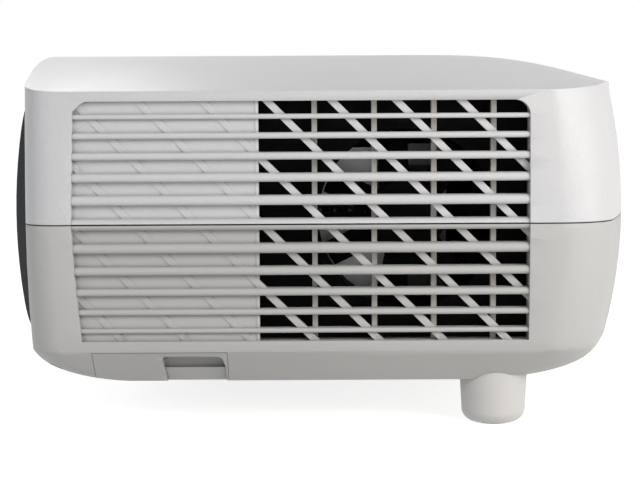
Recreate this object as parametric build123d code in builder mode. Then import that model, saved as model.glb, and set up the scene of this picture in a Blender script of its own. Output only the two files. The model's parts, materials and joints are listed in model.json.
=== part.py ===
"""Home-cinema projector with a built-in disc player.

Frame: +X towards the lens end, +Z up, origin under the middle of the casing at the soles of its legs.
The louvred side faces -Y, the disc tray opens at the rear end towards -X. Millimetres throughout.
"""
from build123d import *
import math
import os

os.makedirs("parts", exist_ok=True)

# ---- casing: plan outline ----
case_front_x = 162.0          # nose of the lens end at the parting line
case_rear_x = -155.0          # middle of the rear end
case_half_width = 170.0
front_plan_radius = 500.0     # both ends are bowed in plan
rear_plan_radius = 1875.0
front_corner_radius = 30.0
rear_corner_radius = 16.0
wall = 2.6

# ---- casing: heights ----
leg_height = 23.5             # underside of the casing above the floor
bevel_height = 17.1           # underside to the lower crease
lower_side_height = 61.8      # lower crease to the parting line
upper_side_height = 63.9      # parting line to the upper crease
crown_rise = 20.0             # upper crease to the top of the crown
crown_fall_start_x = 45.0     # the crown drops towards the lens end from here
crown_fall_end_x = 157.0      # and would reach the upper crease here
crown_least_rise = 0.4
reveal = 0.7                  # dark line between the shells
tongue_ledge = 0.4            # the tongue behind that line stands this far inside the wall

# ---- casing: how far each wall leans in ----
upper_lean = (3.0, 7.0, 0.6)          # side, front, rear, at the upper crease
lower_lean = (3.5, 7.8, 2.0)          # side, front, rear, at the lower crease
bevel_lean = (20.0, 46.0, 37.0)       # side, front, rear, at the underside
bevel_stations = {                    # share of the bevel's height: shares of its lean, in the same order
    0.50: (0.50, 0.20, 0.20),
    0.84: (0.84, 0.56, 0.56),
}

# ---- louvred grille ----
grille_left_x = -122.0
grille_right_x = 96.0
grille_top_z = 161.6
grille_bottom_z = 45.5
grille_depth = 9.6            # from the widest place of the side wall to the back of the collar
grille_collar = 2.0           # wall of the collar round the opening
grille_corner_radius = 7.0
grille_left_bow = [           # the left edge: height above the bottom, step along X
    (0.0, 1.4),
    (30.0, -1.3),
    (56.9, -2.7),
    (111.1, -1.3),
    (114.2, 1.8),
    (116.1, 4.7),
]
louvre_middle_thickness = 4.7
louvre_thinning = 0.58        # each louvre away from the middle is this much thinner
louvre_gap = 6.5
louvre_count = 5              # full louvres above and below the split one
split_louvre_thickness = 5.5
louvre_recess = 0.8           # louvre noses behind the side wall
rib_pitch = 31.1              # slanted ribs, measured along X
rib_width = 4.8
rib_start_x = -32.6           # where one rib meets the top of the grille
rib_recess = 3.4
rib_relief = 0.3              # rib faces stand proud of the closed web
web_right_x = -35.5
web_thickness = 1.8

# ---- inner frame behind the grille ----
frame_gap = 0.3
frame_depth = 5.0
frame_rim = 5.0              # upright sides of the frame
frame_ledge = 3.0            # its top and bottom
upright_width = 2.6
upright_pitch = 28.9
upright_first_x = -7.5
upright_count = 4

# ---- fans ----
exhaust_fan_size = 92.0
exhaust_fan_depth = 25.0
exhaust_fan_x = 38.0
lamp_fan_size = 50.0
lamp_fan_depth = 15.0
fan_blade_count = 7
fan_hub_share = 0.42
bracket_thickness = 2.0
bracket_standoff = 4.0
running_clearance = 0.05

# ---- legs ----
front_leg_x = 81.8
front_leg_y = 136.5
rear_leg_x = -104.0
leg_top_radius = 17.3
leg_foot_radius = 15.9
leg_rim_radius = 6.5
leg_travel = 12.0
stud_radius = 4.0
sole_radius = 8.5
sole_thickness = 1.6
sole_proud = 0.5
socket_wall = 2.4
part_clearance = 0.3

# ---- disc player ----
disc_radius = 60.0
disc_x = -85.0
player_rear_x = -147.0
player_front_x = 25.0
player_half_width = 76.0
player_floor_z = 108.0
player_height = 28.0
sheet = 1.2
tray_half_width = 70.0
tray_front_x = 13.0
tray_floor_z = 118.0
tray_thickness = 8.0
disc_recess = 2.5
tray_slot_half_width = 24.0
tray_travel = 135.0
gear_module = 1.0
gear_teeth = 16
gear_thickness = 4.4
gear_x = -132.0
rack_pitch_line_y = -63.0
tooth_backlash = 0.4
shaft_radius = 1.5
turntable_radius = 15.0
pickup_travel = 34.0
pickup_inner_radius = 24.0

# ---- optics ----
lens_y = 62.0
lens_z = 100.0
lens_mouth_radius = 45.0
lens_bowl_radius = 36.0
barrel_radius = 26.0
barrel_wall = 3.0
barrel_rear_x = 70.0
barrel_front_x = 140.0
ring_wall = 4.5
lamp_x = -86.0
lamp_y = -109.0
lamp_z = 72.0
wheel_radius = 23.0

# ---- rear fascia ----
fascia_bottom_z = 48.0
fascia_top_z = 162.0
fascia_half_width = 141.0
fascia_bulge = 6.0
fascia_front_x = -161.0
fascia_wall = 2.6
fascia_depth = 12.0
fascia_corner_radius = 14.0
speaker_y = 110.0
speaker_z = 105.0
speaker_radius = 26.0
grille_hole_radius = 1.3
grille_hole_pitch = 4.3
keypad_y = 62.0               # the keys lie on the far half of the crown
key_radius = 5.0
key_travel = 0.8
key_proud = 1.0

# ---- derived heights ----
underside_z = leg_height
lower_crease_z = underside_z + bevel_height
parting_z = lower_crease_z + lower_side_height
upper_crease_z = parting_z + upper_side_height
crown_z = upper_crease_z + crown_rise
floor_z = underside_z + wall


# ---- small helpers ----
def span_box(x_low, x_high, y_low, y_high, z_low, z_high, mode=Mode.ADD):
    """A block given by its two ends along each axis."""
    with Locations(((x_low + x_high) / 2, (y_low + y_high) / 2, (z_low + z_high) / 2)):
        Box(x_high - x_low, y_high - y_low, z_high - z_low, mode=mode)


def upright_rod(x, y, z_low, z_high, radius, mode=Mode.ADD):
    """A round rod along Z."""
    with Locations((x, y, (z_low + z_high) / 2)):
        Cylinder(radius, z_high - z_low, mode=mode)


def axial_rod(x_low, x_high, y, z, radius, mode=Mode.ADD):
    """A round rod along X."""
    with Locations(Location(((x_low + x_high) / 2, y, z), (0, 90, 0))):
        Cylinder(radius, x_high - x_low, mode=mode)


def cross_rod(x, y_low, y_high, z, radius, mode=Mode.ADD):
    """A round rod along Y."""
    with Locations(Location((x, (y_low + y_high) / 2, z), (90, 0, 0))):
        Cylinder(radius, y_high - y_low, mode=mode)


def keep(piece, name):
    """Label a finished piece and write it to its own file."""
    piece.part.label = name
    export_step(piece.part, f"parts/{name}.step")


# ---- casing solids ----
def plan_outline(height, lean, shrink=0.0):
    """The casing's outline at one height: straight sides, bowed ends, rounded corners."""
    side_lean, front_lean, rear_lean = lean
    half_width = case_half_width - side_lean - shrink
    with BuildSketch(Plane.XY.offset(height)) as plan:
        with Locations(((case_front_x + case_rear_x) / 2, 0)):
            Rectangle(case_front_x - case_rear_x + 2 * wall, 2 * half_width)
        with Locations((case_front_x - front_plan_radius, 0)):
            Circle(front_plan_radius - front_lean - shrink, mode=Mode.INTERSECT)
        with Locations((case_rear_x + rear_plan_radius, 0)):
            Circle(rear_plan_radius - rear_lean - shrink, mode=Mode.INTERSECT)
        corners = [v for v in plan.vertices() if abs(v.Y) > half_width / 2]
        fillet([v for v in corners if v.X > 0], front_corner_radius - shrink)
        corners = [v for v in plan.vertices() if abs(v.Y) > half_width / 2]
        fillet([v for v in corners if v.X < case_rear_x / 2], rear_corner_radius - shrink)
    return plan.sketch


def scaled(lean, share):
    """A share of a lean, for a section part of the way along a bowed wall."""
    return tuple(value * share for value in lean)


def blended(lean_a, lean_b, shares):
    """A lean part of the way from one to another, with a share of its own for each wall."""
    return tuple(a + (b - a) * share for a, b, share in zip(lean_a, lean_b, shares))


crown_half_width = case_half_width - upper_lean[0] + 0.6


def crown_rise_at(x):
    """How far the crown stands above the upper crease at one place along the casing."""
    share = max(0.0, x - crown_fall_start_x) / (crown_fall_end_x - crown_fall_start_x)
    return max(crown_rise * (1 - share ** 3), crown_least_rise)


def crown_section(x, drop):
    """The crown's arched section across the casing at one place along it."""
    rise = crown_rise_at(x)
    half_width = crown_half_width
    base_z = upper_crease_z - drop
    with BuildSketch(Plane(origin=(x, 0, 0), x_dir=(0, 1, 0), z_dir=(1, 0, 0))) as section:
        with BuildLine():
            ThreePointArc((-half_width, base_z), (0, base_z + rise), (half_width, base_z))
            Polyline(
                (half_width, base_z),
                (half_width, base_z - crown_rise),
                (-half_width, base_z - crown_rise),
                (-half_width, base_z),
            )
        make_face()
    return section.sketch


crown_fall_stations = [crown_fall_start_x + share * (crown_fall_end_x - crown_fall_start_x)
                       for share in (0.0, 0.3, 0.55, 0.8, 1.0)]
side_share = 0.25             # a bowed wall has leant this share of its lean half way along


def casing_solid(shrink):
    """The whole casing as one solid, its walls moved inwards by shrink."""
    middle_lower_z = (parting_z + lower_crease_z) / 2
    middle_upper_z = (parting_z + upper_crease_z) / 2
    crease_z = lower_crease_z + shrink / 2
    base_z = underside_z + shrink
    with BuildPart() as solid:
        loft(sections=[
            plan_outline(parting_z, (0, 0, 0), shrink),
            plan_outline(middle_lower_z, scaled(lower_lean, side_share), shrink),
            plan_outline(crease_z, lower_lean, shrink),
        ])
        loft(sections=[
            plan_outline(crease_z, lower_lean, shrink),
            *(plan_outline(crease_z + share * (base_z - crease_z),
                           blended(lower_lean, bevel_lean, shares), shrink)
              for share, shares in bevel_stations.items()),
            plan_outline(base_z, bevel_lean, shrink),
        ])
        loft(sections=[
            plan_outline(parting_z, (0, 0, 0), shrink),
            plan_outline(middle_upper_z, scaled(upper_lean, side_share), shrink),
            plan_outline(upper_crease_z - shrink, upper_lean, shrink),
        ])
    with BuildPart() as crown:
        extrude(crown_section(crown_fall_start_x, shrink), amount=-(crown_fall_start_x - case_rear_x + 2))
        loft(sections=[crown_section(x, shrink) for x in crown_fall_stations])
        extrude(plan_outline(upper_crease_z - shrink, upper_lean, shrink), amount=2 * crown_rise,
                mode=Mode.INTERSECT)
    return solid.part + crown.part


casing_outer = casing_solid(0.0)
casing_inner = casing_solid(wall)
casing_middle = casing_solid(wall / 2)


def side_wall_y(height):
    """Where the louvred side wall stands at one height."""
    if height > parting_z:
        share = (height - parting_z) / upper_side_height
        lean = upper_lean[0]
    else:
        share = (parting_z - height) / lower_side_height
        lean = lower_lean[0]
    return -case_half_width + lean * share ** 2


def side_bevel_y(height):
    """Where the flat bevel under the side wall stands at one height."""
    share = (lower_crease_z - height) / bevel_height
    return -case_half_width + lower_lean[0] + share * (bevel_lean[0] - lower_lean[0])


# ---- grille ----
grille_back_y = -case_half_width + grille_depth
rib_face_y = -case_half_width + 2.0 + rib_recess


def grille_outline(grow=0.0):
    """The grille opening seen from the side, on the XZ plane."""
    with BuildSketch(Plane.XZ) as opening:
        with BuildLine():
            Polyline(
                (grille_right_x, grille_top_z),
                (grille_right_x, grille_bottom_z),
                *((grille_left_x + step, grille_bottom_z + height) for height, step in grille_left_bow),
                close=True,
            )
        make_face()
        if grow:
            offset(amount=grow, kind=Kind.INTERSECTION)
        top_right = opening.vertices().sort_by(lambda v: v.X - v.Y * -1)[-1]
        fillet(top_right, grille_corner_radius)
    return opening.sketch


def louvre_rows():
    """Middle height and thickness of each full louvre above and below the split one."""
    rows = []
    for direction in (1, -1):
        edge = parting_z + direction * split_louvre_thickness / 2
        for number in range(louvre_count):
            thickness = louvre_middle_thickness - louvre_thinning * number
            middle = edge + direction * (louvre_gap + thickness / 2)
            rows.append((middle, thickness))
            edge = middle + direction * thickness / 2
    return rows


def louvre_spans():
    """Lower and upper edge of every louvre, the split one among them."""
    spans = [(z - thickness / 2, z + thickness / 2) for z, thickness in louvre_rows()]
    spans.append((parting_z - split_louvre_thickness / 2, parting_z + split_louvre_thickness / 2))
    return spans


def slanted_ribs():
    """Ribs that run down towards the lens end at 45 degrees, clipped to the opening."""
    height = grille_top_z - grille_bottom_z
    first = math.ceil((grille_left_x - height - rib_start_x) / rib_pitch)
    last = math.floor((grille_right_x - rib_start_x) / rib_pitch)
    with BuildSketch(Plane.XZ) as ribs:
        for number in range(first, last + 1):
            x = rib_start_x + number * rib_pitch
            with BuildLine():
                Polyline(
                    (x, grille_top_z),
                    (x + rib_width, grille_top_z),
                    (x + rib_width + height, grille_bottom_z),
                    (x + height, grille_bottom_z),
                    close=True,
                )
            make_face()
        add(grille_outline(0.5), mode=Mode.INTERSECT)
    return ribs.sketch


with BuildPart() as louvres:
    with BuildSketch(Plane.YZ.offset(grille_left_x - grille_collar - 4)) as louvre_section:
        for z_low, z_high in louvre_spans():
            middle = (z_low + z_high) / 2
            half = (z_high - z_low) / 2
            nose_y = side_wall_y(middle) + louvre_recess
            with BuildLine():
                Line((grille_back_y, z_low), (grille_back_y, z_high))
                Line((grille_back_y, z_high), (nose_y + half, z_high))
                ThreePointArc((nose_y + half, z_high), (nose_y, middle), (nose_y + half, z_low))
                Line((nose_y + half, z_low), (grille_back_y, z_low))
            make_face()
    extrude(amount=grille_right_x - grille_left_x + 2 * grille_collar + 8)
    with BuildSketch(Plane.XZ.offset(case_half_width + 5)) as louvre_field:
        add(grille_outline(grille_collar / 2))
    extrude(amount=-30, mode=Mode.INTERSECT)

with BuildPart() as collar:
    # its face lies in the middle of the side wall
    with BuildSketch(Plane.XZ.offset(case_half_width)):
        add(grille_outline(grille_collar))
        add(grille_outline(), mode=Mode.SUBTRACT)
    extrude(amount=-grille_depth)
    add(casing_middle, mode=Mode.INTERSECT)

with BuildPart() as grille:
    # collar round the opening, ribs, closed web and louvres, later shared out between the shells
    add(collar.part)
    with BuildSketch(Plane.XZ.offset(-rib_face_y)):
        add(slanted_ribs())
    extrude(amount=-(grille_back_y - rib_face_y))
    with BuildSketch(Plane.XZ.offset(-(rib_face_y + rib_relief))):
        add(grille_outline(0.5))
        with Locations((web_right_x + 200, parting_z)):
            Rectangle(400, 400, mode=Mode.SUBTRACT)
    extrude(amount=-web_thickness)
    web_edge_y = rib_face_y + rib_relief + web_thickness / 2
    upright_rod(web_right_x, web_edge_y, grille_bottom_z - 0.4, grille_top_z + 0.4, web_thickness / 2 + 0.3)
    add(louvres.part)


# ---- fascia solid, shared by everything that is flush with it ----
def fascia_section(y, shift):
    """The fascia's bulged upright section at one place across it."""
    middle_z = (fascia_bottom_z + fascia_top_z) / 2
    bow = y ** 2 / (2 * rear_plan_radius)
    edge_x = fascia_front_x + fascia_bulge + bow
    back_x = edge_x + fascia_depth
    with BuildSketch(Plane(origin=(0, y, 0), x_dir=(1, 0, 0), z_dir=(0, -1, 0))) as section:
        with BuildLine():
            ThreePointArc(
                (edge_x + shift, fascia_bottom_z - 1),
                (fascia_front_x + bow + shift, middle_z),
                (edge_x + shift, fascia_top_z + 1),
            )
            Polyline(
                (edge_x + shift, fascia_top_z + 1),
                (back_x, fascia_top_z + 1),
                (back_x, fascia_bottom_z - 1),
                (edge_x + shift, fascia_bottom_z - 1),
            )
        make_face()
    return section.sketch


def fascia_solid(grow, shift=0.0):
    """The bulged rear fascia as a solid that follows the bow of the rear end,
    and its outline as a prism."""
    reach = fascia_half_width + 8
    with BuildPart() as bulge:
        loft(sections=[fascia_section(y, shift) for y in (-reach, 0, reach)])
    with BuildPart() as window:
        with BuildSketch(Plane.YZ.offset(fascia_front_x - 5)):
            with Locations((0, (fascia_bottom_z + fascia_top_z) / 2)):
                RectangleRounded(
                    2 * (fascia_half_width + grow),
                    fascia_top_z - fascia_bottom_z + 2 * grow,
                    fascia_corner_radius + grow,
                )
        extrude(amount=fascia_depth + 14)
    return bulge.part, window.part


fascia_bulk, fascia_window = fascia_solid(0.0)
fascia_inner_bulk, fascia_inner_window = fascia_solid(-fascia_wall, fascia_wall)
_, fascia_cutout = fascia_solid(part_clearance)


def crown_surface_z(x, y):
    """Height of the crown's outer surface."""
    return upper_crease_z + crown_rise_at(x) * (1 - (y / crown_half_width) ** 2)


# ---- places shared by several pieces ----
top_keys = {                  # name: (x, y, radius)
    "power_key": (-86.0, keypad_y + 20.0, 6.5),
    "source_key": (-86.0, keypad_y, key_radius),
    "menu_key": (-86.0, keypad_y - 20.0, key_radius),
    "select_key": (-50.0, keypad_y, 6.5),
    "rear_arrow_key": (-66.0, keypad_y, key_radius),
    "front_arrow_key": (-34.0, keypad_y, key_radius),
    "left_arrow_key": (-50.0, keypad_y + 16.0, key_radius),
    "right_arrow_key": (-50.0, keypad_y - 16.0, key_radius),
}
fascia_keys = {               # name: (y, z)
    "eject_key": (-30.0, 98.0),
    "play_key": (0.0, 98.0),
    "stop_key": (30.0, 98.0),
}
display_size = (64.0, 15.0)
display_z = 76.0
receiver_y = 58.0
receiver_radius = 5.0
tray_slot_size = (150.6, 21.0)
tray_slot_z = 122.0
door_rear_x = -116.0
door_front_x = -50.5
door_inner_y = -62.4
door_clearance = 0.2
door_top_z = lower_crease_z - 0.9
door_travel = 40.0
recess_rear_x = -82.6
recess_front_x = -51.4
recess_rear_lean = 3.0        # its rear wall slants this far over its height
recess_front_lean = 1.8
recess_rear_radius = 2.0
recess_front_radius = 3.0
recess_depth = 2.7            # behind the bevel, along Y
recess_backing = 3.0          # wall behind the finger pocket
pocket_top_z = 37.5
pocket_bottom_z = 31.0
pocket_back_y = -151.0
insert_spacing = (80.0, 180.0)
insert_radius = 3.5
insert_bore_radius = 1.65
insert_length = 8.0
screw_places = [(-136.0, -151.0), (-136.0, 151.0), (119.5, -140.0), (119.5, 140.0)]
screw_head_radius = 3.0
screw_shank_radius = 1.5
screw_seat_z = 60.0
screw_length = 55.0
keypad_z = 172.0
keypad_thickness = 1.6
keypad_corners = [(x, keypad_y + side * 30.0) for x in (-96.0, -22.0) for side in (-1, 1)]
panel_rear_x = -104.0
panel_front_x = 56.0
panel_bottom_z = 50.0
panel_top_z = 92.0
panel_y = 162.0
panel_thickness = 1.6
panel_recess_wall = 2.0

player_posts = [(-135.0, -70.0), (-135.0, 70.0), (-38.0, -58.0), (-38.0, 58.0)]
engine_bottom_z = 45.0
engine_arm_bottom_z = 62.0
engine_posts = [(-10.0, 30.0), (-10.0, 94.0), (60.0, 30.0), (60.0, 94.0)]
engine_arm_post = (0.0, -100.0)
supply_bottom_z = 36.0
supply_posts = [(-128.0, 88.0), (-128.0, 126.0), (-32.0, 88.0), (-32.0, 126.0)]
ballast_bottom_z = 34.0
ballast_posts = [(-120.0, 25.0), (-120.0, 57.0), (-55.0, 25.0), (-55.0, 57.0)]
lamp_rear_x = -117.0
lamp_front_x = -55.0
lamp_plate_z = 43.0
lamp_posts = [(-122.5, -82.0), (-122.5, -128.0), (-47.0, -76.0), (-47.0, -128.0)]
post_radius = 3.5


def inserts():
    """Places of the ceiling-mount inserts."""
    return [(sx * insert_spacing[0] / 2, sy * insert_spacing[1] / 2) for sx in (-1, 1) for sy in (-1, 1)]


def cut_side_openings():
    """Grille, fascia and lens openings, which both shells share."""
    side = grille_outline().moved(Location((0, -case_half_width - 5, 0)))
    extrude(side, amount=-14, mode=Mode.SUBTRACT)
    add(fascia_cutout, mode=Mode.SUBTRACT)
    axial_rod(case_front_x - 45, case_front_x + 5, lens_y, lens_z, lens_mouth_radius + part_clearance,
              mode=Mode.SUBTRACT)


# ---- upper shell ----
with BuildPart() as upper_shell:
    add(casing_outer)
    add(casing_inner, mode=Mode.SUBTRACT)
    split(bisect_by=Plane.XY.offset(parting_z + reveal / 2), keep=Keep.TOP)
    cut_side_openings()
    with BuildPart(mode=Mode.PRIVATE) as upper_grille:
        add(grille.part)
        split(bisect_by=Plane.XY.offset(parting_z + reveal / 2), keep=Keep.TOP)
    add(upper_grille.part)
    with BuildPart(mode=Mode.PRIVATE) as upper_bosses:
        for x, y in keypad_corners:
            upright_rod(x, y, keypad_z + keypad_thickness, crown_z, post_radius)
        for x, y in screw_places:
            upright_rod(x, y, parting_z + reveal / 2, crown_z, post_radius + 1)
        add(casing_middle, mode=Mode.INTERSECT)
    add(upper_bosses.part)
    for x, y in screw_places:
        upright_rod(x, y, parting_z, screw_seat_z + screw_length + 1, screw_shank_radius + 0.1,
                    mode=Mode.SUBTRACT)
    for x, y, radius in top_keys.values():
        upright_rod(x, y, upper_crease_z, crown_z + 1, radius + part_clearance, mode=Mode.SUBTRACT)
keep(upper_shell, "upper_shell")


# ---- lower shell ----
leg_top_z = 34.0
socket_top_z = leg_top_z + part_clearance + socket_wall
stud_boss_top_z = 56.0
stud_top_z = 54.5


def lower_shell_bosses():
    """Posts, leg sockets, screw bosses and port frame,
    which lower_shell trims to the middle of its wall."""
    buried_z = underside_z
    posts = [(x, y, player_floor_z) for x, y in player_posts]
    posts += [(x, y, engine_bottom_z) for x, y in engine_posts]
    posts += [(x, y, supply_bottom_z) for x, y in supply_posts]
    posts += [(x, y, ballast_bottom_z) for x, y in ballast_posts]
    posts += [(x, y, lamp_plate_z) for x, y in lamp_posts]
    posts.append((*engine_arm_post, engine_arm_bottom_z))
    for x, y, top_z in posts:
        upright_rod(x, y, buried_z, top_z, post_radius)
    for x, y in inserts():
        upright_rod(x, y, buried_z, underside_z + insert_length + wall, insert_radius + 2)
    for x, y in screw_places:
        upright_rod(x, y, buried_z, parting_z - reveal / 2, post_radius + 1)
    for y in (-front_leg_y, front_leg_y):
        upright_rod(front_leg_x, y, buried_z, socket_top_z, leg_top_radius + part_clearance + socket_wall)
        upright_rod(front_leg_x, y, socket_top_z - 1, stud_boss_top_z, stud_radius + 4)
    # frame that the port panel lies against
    span_box(panel_rear_x - panel_recess_wall, panel_front_x + panel_recess_wall,
             panel_y + panel_thickness, case_half_width,
             panel_bottom_z - panel_recess_wall, panel_top_z + panel_recess_wall)


with BuildPart() as lower_shell:
    add(casing_outer)
    add(casing_inner, mode=Mode.SUBTRACT)
    split(bisect_by=Plane.XY.offset(parting_z - reveal / 2), keep=Keep.BOTTOM)
    # tongue that closes the dark line between the shells from inside
    extrude(plan_outline(parting_z - 3, (0, 0, 0), wall / 2), amount=3 + reveal / 2)
    extrude(plan_outline(parting_z - 3, (0, 0, 0), wall + tongue_ledge), amount=3 + reveal / 2,
            mode=Mode.SUBTRACT)
    with BuildPart(mode=Mode.PRIVATE) as lower_bosses:
        lower_shell_bosses()
        add(casing_middle, mode=Mode.INTERSECT)
    add(lower_bosses.part)
    cut_side_openings()
    with BuildPart(mode=Mode.PRIVATE) as lower_grille:
        add(grille.part)
        split(bisect_by=Plane.XY.offset(parting_z - reveal / 2), keep=Keep.BOTTOM)
    add(lower_grille.part)
    # lamp door opening
    span_box(door_rear_x - door_clearance, door_front_x + door_clearance, -case_half_width - 5,
             door_inner_y + door_clearance, underside_z - 5, door_top_z + door_clearance,
             mode=Mode.SUBTRACT)
    # leg sockets and stud bores
    for y in (-front_leg_y, front_leg_y):
        upright_rod(front_leg_x, y, underside_z - 5, leg_top_z + part_clearance,
                    leg_top_radius + part_clearance,
                    mode=Mode.SUBTRACT)
        upright_rod(front_leg_x, y, leg_top_z, stud_boss_top_z + 1, stud_radius + running_clearance,
                    mode=Mode.SUBTRACT)
    # bores for inserts and casing screws
    for x, y in inserts():
        upright_rod(x, y, underside_z - 1, underside_z + insert_length, insert_radius, mode=Mode.SUBTRACT)
    for x, y in screw_places:
        upright_rod(x, y, underside_z - 1, screw_seat_z, screw_head_radius + part_clearance,
                    mode=Mode.SUBTRACT)
        upright_rod(x, y, screw_seat_z, parting_z + 1, screw_shank_radius + 0.1, mode=Mode.SUBTRACT)
    # port panel opening
    span_box(panel_rear_x + panel_recess_wall, panel_front_x - panel_recess_wall,
             panel_y, case_half_width + 5, panel_bottom_z + panel_recess_wall,
             panel_top_z - panel_recess_wall,
             mode=Mode.SUBTRACT)
keep(lower_shell, "lower_shell")


# ---- lamp door ----
with BuildPart() as finger_recess:
    # a pocket with a sloped floor under it, seen from below and from the side
    with BuildSketch(Plane.YZ.offset(recess_rear_x - 1)) as recess_profile:
        with BuildLine():
            Polyline(
                (-case_half_width - 10, pocket_top_z),
                (pocket_back_y, pocket_top_z),
                (pocket_back_y, pocket_bottom_z),
                (side_bevel_y(pocket_bottom_z) + recess_depth, pocket_bottom_z),
                (side_bevel_y(underside_z) + recess_depth, underside_z),
                (side_bevel_y(underside_z) + recess_depth, underside_z - 8),
                (-case_half_width - 10, underside_z - 8),
                close=True,
            )
        make_face()
    extrude(amount=recess_front_x - recess_rear_x + 2)
    with BuildSketch(Plane.XZ.offset(case_half_width + 12)) as recess_outline:
        with BuildLine():
            Polyline(
                (recess_rear_x, pocket_top_z),
                (recess_rear_x + recess_rear_lean, underside_z - 9),
                (recess_front_x, underside_z - 9),
                (recess_front_x, pocket_bottom_z),
                (recess_front_x - recess_front_lean, pocket_top_z),
                close=True,
            )
        make_face()
        top_corners = recess_outline.vertices().group_by(Axis.Y)[-1].sort_by(Axis.X)
        fillet(top_corners[0], recess_rear_radius)
        top_corners = recess_outline.vertices().group_by(Axis.Y)[-1].sort_by(Axis.X)
        fillet(top_corners[-1], recess_front_radius)
    extrude(amount=-40, mode=Mode.INTERSECT)

with BuildPart() as lamp_door:
    add(casing_outer)
    add(casing_inner, mode=Mode.SUBTRACT)
    with BuildPart(mode=Mode.PRIVATE) as grip_block:
        add(casing_outer)
        span_box(recess_rear_x - recess_backing, door_front_x, -case_half_width - 5,
                 pocket_back_y + recess_backing, underside_z - 5, door_top_z, mode=Mode.INTERSECT)
    add(grip_block.part)
    span_box(door_rear_x, door_front_x, -case_half_width - 5, door_inner_y, underside_z - 5, door_top_z,
             mode=Mode.INTERSECT)
    add(finger_recess.part, mode=Mode.SUBTRACT)
keep(lamp_door, "lamp_door")


# ---- inner frame with upright ribs, behind the grille ----
inner_frame_y = grille_back_y + frame_gap
inner_frame_back_y = inner_frame_y + frame_depth
bracket_y = inner_frame_back_y + bracket_standoff
frame_rear_x = web_right_x - frame_rim
frame_front_x = grille_right_x + frame_rim
frame_pegs = [(frame_rear_x + 2.5, grille_bottom_z + 2), (frame_rear_x + 2.5, grille_top_z - 2),
              (frame_front_x - 2.5, grille_bottom_z + 2), (frame_front_x - 2.5, grille_top_z - 2)]

with BuildPart() as filter_frame:
    span_box(frame_rear_x, frame_front_x, inner_frame_y, inner_frame_back_y,
             grille_bottom_z - frame_ledge, grille_top_z + frame_ledge)
    span_box(web_right_x, grille_right_x, inner_frame_y - 1, inner_frame_back_y + 1,
             grille_bottom_z, grille_top_z, mode=Mode.SUBTRACT)
    for number in range(upright_count):
        x = upright_first_x + number * upright_pitch
        span_box(x - upright_width / 2, x + upright_width / 2, inner_frame_y, inner_frame_back_y,
                 grille_bottom_z - 1, grille_top_z + 1)
    for x, z in frame_pegs:
        cross_rod(x, inner_frame_back_y, bracket_y, z, 2.0)
        cross_rod(x, grille_back_y, inner_frame_y, z, 2.0)
keep(filter_frame, "filter_frame")


# ---- exhaust fan and the bracket that carries it ----
exhaust_fan_z = (grille_bottom_z + grille_top_z) / 2
bracket_back_y = bracket_y + bracket_thickness

with BuildPart() as fan_bracket:
    span_box(frame_rear_x, frame_front_x, bracket_y, bracket_back_y, grille_bottom_z - 4, grille_top_z + 1)
    with BuildSketch(Plane.XZ.offset(-bracket_y + 1)) as fan_mouth:
        with Locations((exhaust_fan_x, exhaust_fan_z)):
            RectangleRounded(exhaust_fan_size - 4, exhaust_fan_size - 4, 12)
    extrude(fan_mouth.sketch, amount=-bracket_thickness - 2, mode=Mode.SUBTRACT)
keep(fan_bracket, "fan_bracket")


def fan_frame(place, size, depth, name):
    """A square fan housing with a round throat, a motor disc, four struts and a shaft."""
    throat = size / 2 - 2.0
    hub = throat * fan_hub_share
    with BuildPart() as housing:
        with BuildSketch():
            RectangleRounded(size, size, 4)
            Circle(throat, mode=Mode.SUBTRACT)
            with GridLocations(size - 8, size - 8, 2, 2):
                Circle(1.8, mode=Mode.SUBTRACT)
        extrude(amount=depth)
        with BuildSketch():
            Circle(hub)
            with PolarLocations(throat / 2, 4):
                Rectangle(throat + 2, 3.0)
        extrude(amount=2.0)
        upright_rod(0, 0, 1.0, depth - 4, shaft_radius)
    with BuildPart() as placed:
        with Locations(place.location):
            add(housing.part)
    keep(placed, name)


def fan_rotor(place, size, depth, name):
    """A hub cup with pitched blades, bored to run on the housing's shaft."""
    throat = size / 2 - 2.0
    hub = throat * fan_hub_share
    tip = throat - 1.0
    with BuildPart() as rotor:
        upright_rod(0, 0, 2.3, depth - 2.5, hub)
        with PolarLocations((hub + tip) / 2, fan_blade_count):
            with Locations(Location((0, 0, depth / 2 + 0.4), (52, 0, 0))):
                Box(tip - hub + 2, 1.6, depth * 0.62)
        upright_rod(0, 0, 0, depth, tip, mode=Mode.INTERSECT)
        upright_rod(0, 0, 2.0, depth - 4 + running_clearance, shaft_radius + running_clearance,
                    mode=Mode.SUBTRACT)
    with BuildPart() as placed:
        with Locations(place.location):
            add(rotor.part)
    keep(placed, name)


exhaust_place = Plane(
    origin=(exhaust_fan_x, bracket_back_y + exhaust_fan_depth, exhaust_fan_z), x_dir=(1, 0, 0),
    z_dir=(0, -1, 0))
fan_frame(exhaust_place, exhaust_fan_size, exhaust_fan_depth, "exhaust_fan_frame")
fan_rotor(exhaust_place, exhaust_fan_size, exhaust_fan_depth, "exhaust_fan_rotor")

lamp_fan_place = Plane(origin=(lamp_rear_x - lamp_fan_depth, lamp_y, lamp_z), x_dir=(0, 1, 0),
                       z_dir=(1, 0, 0))
fan_frame(lamp_fan_place, lamp_fan_size, lamp_fan_depth, "lamp_fan_frame")
fan_rotor(lamp_fan_place, lamp_fan_size, lamp_fan_depth, "lamp_fan_rotor")


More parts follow.
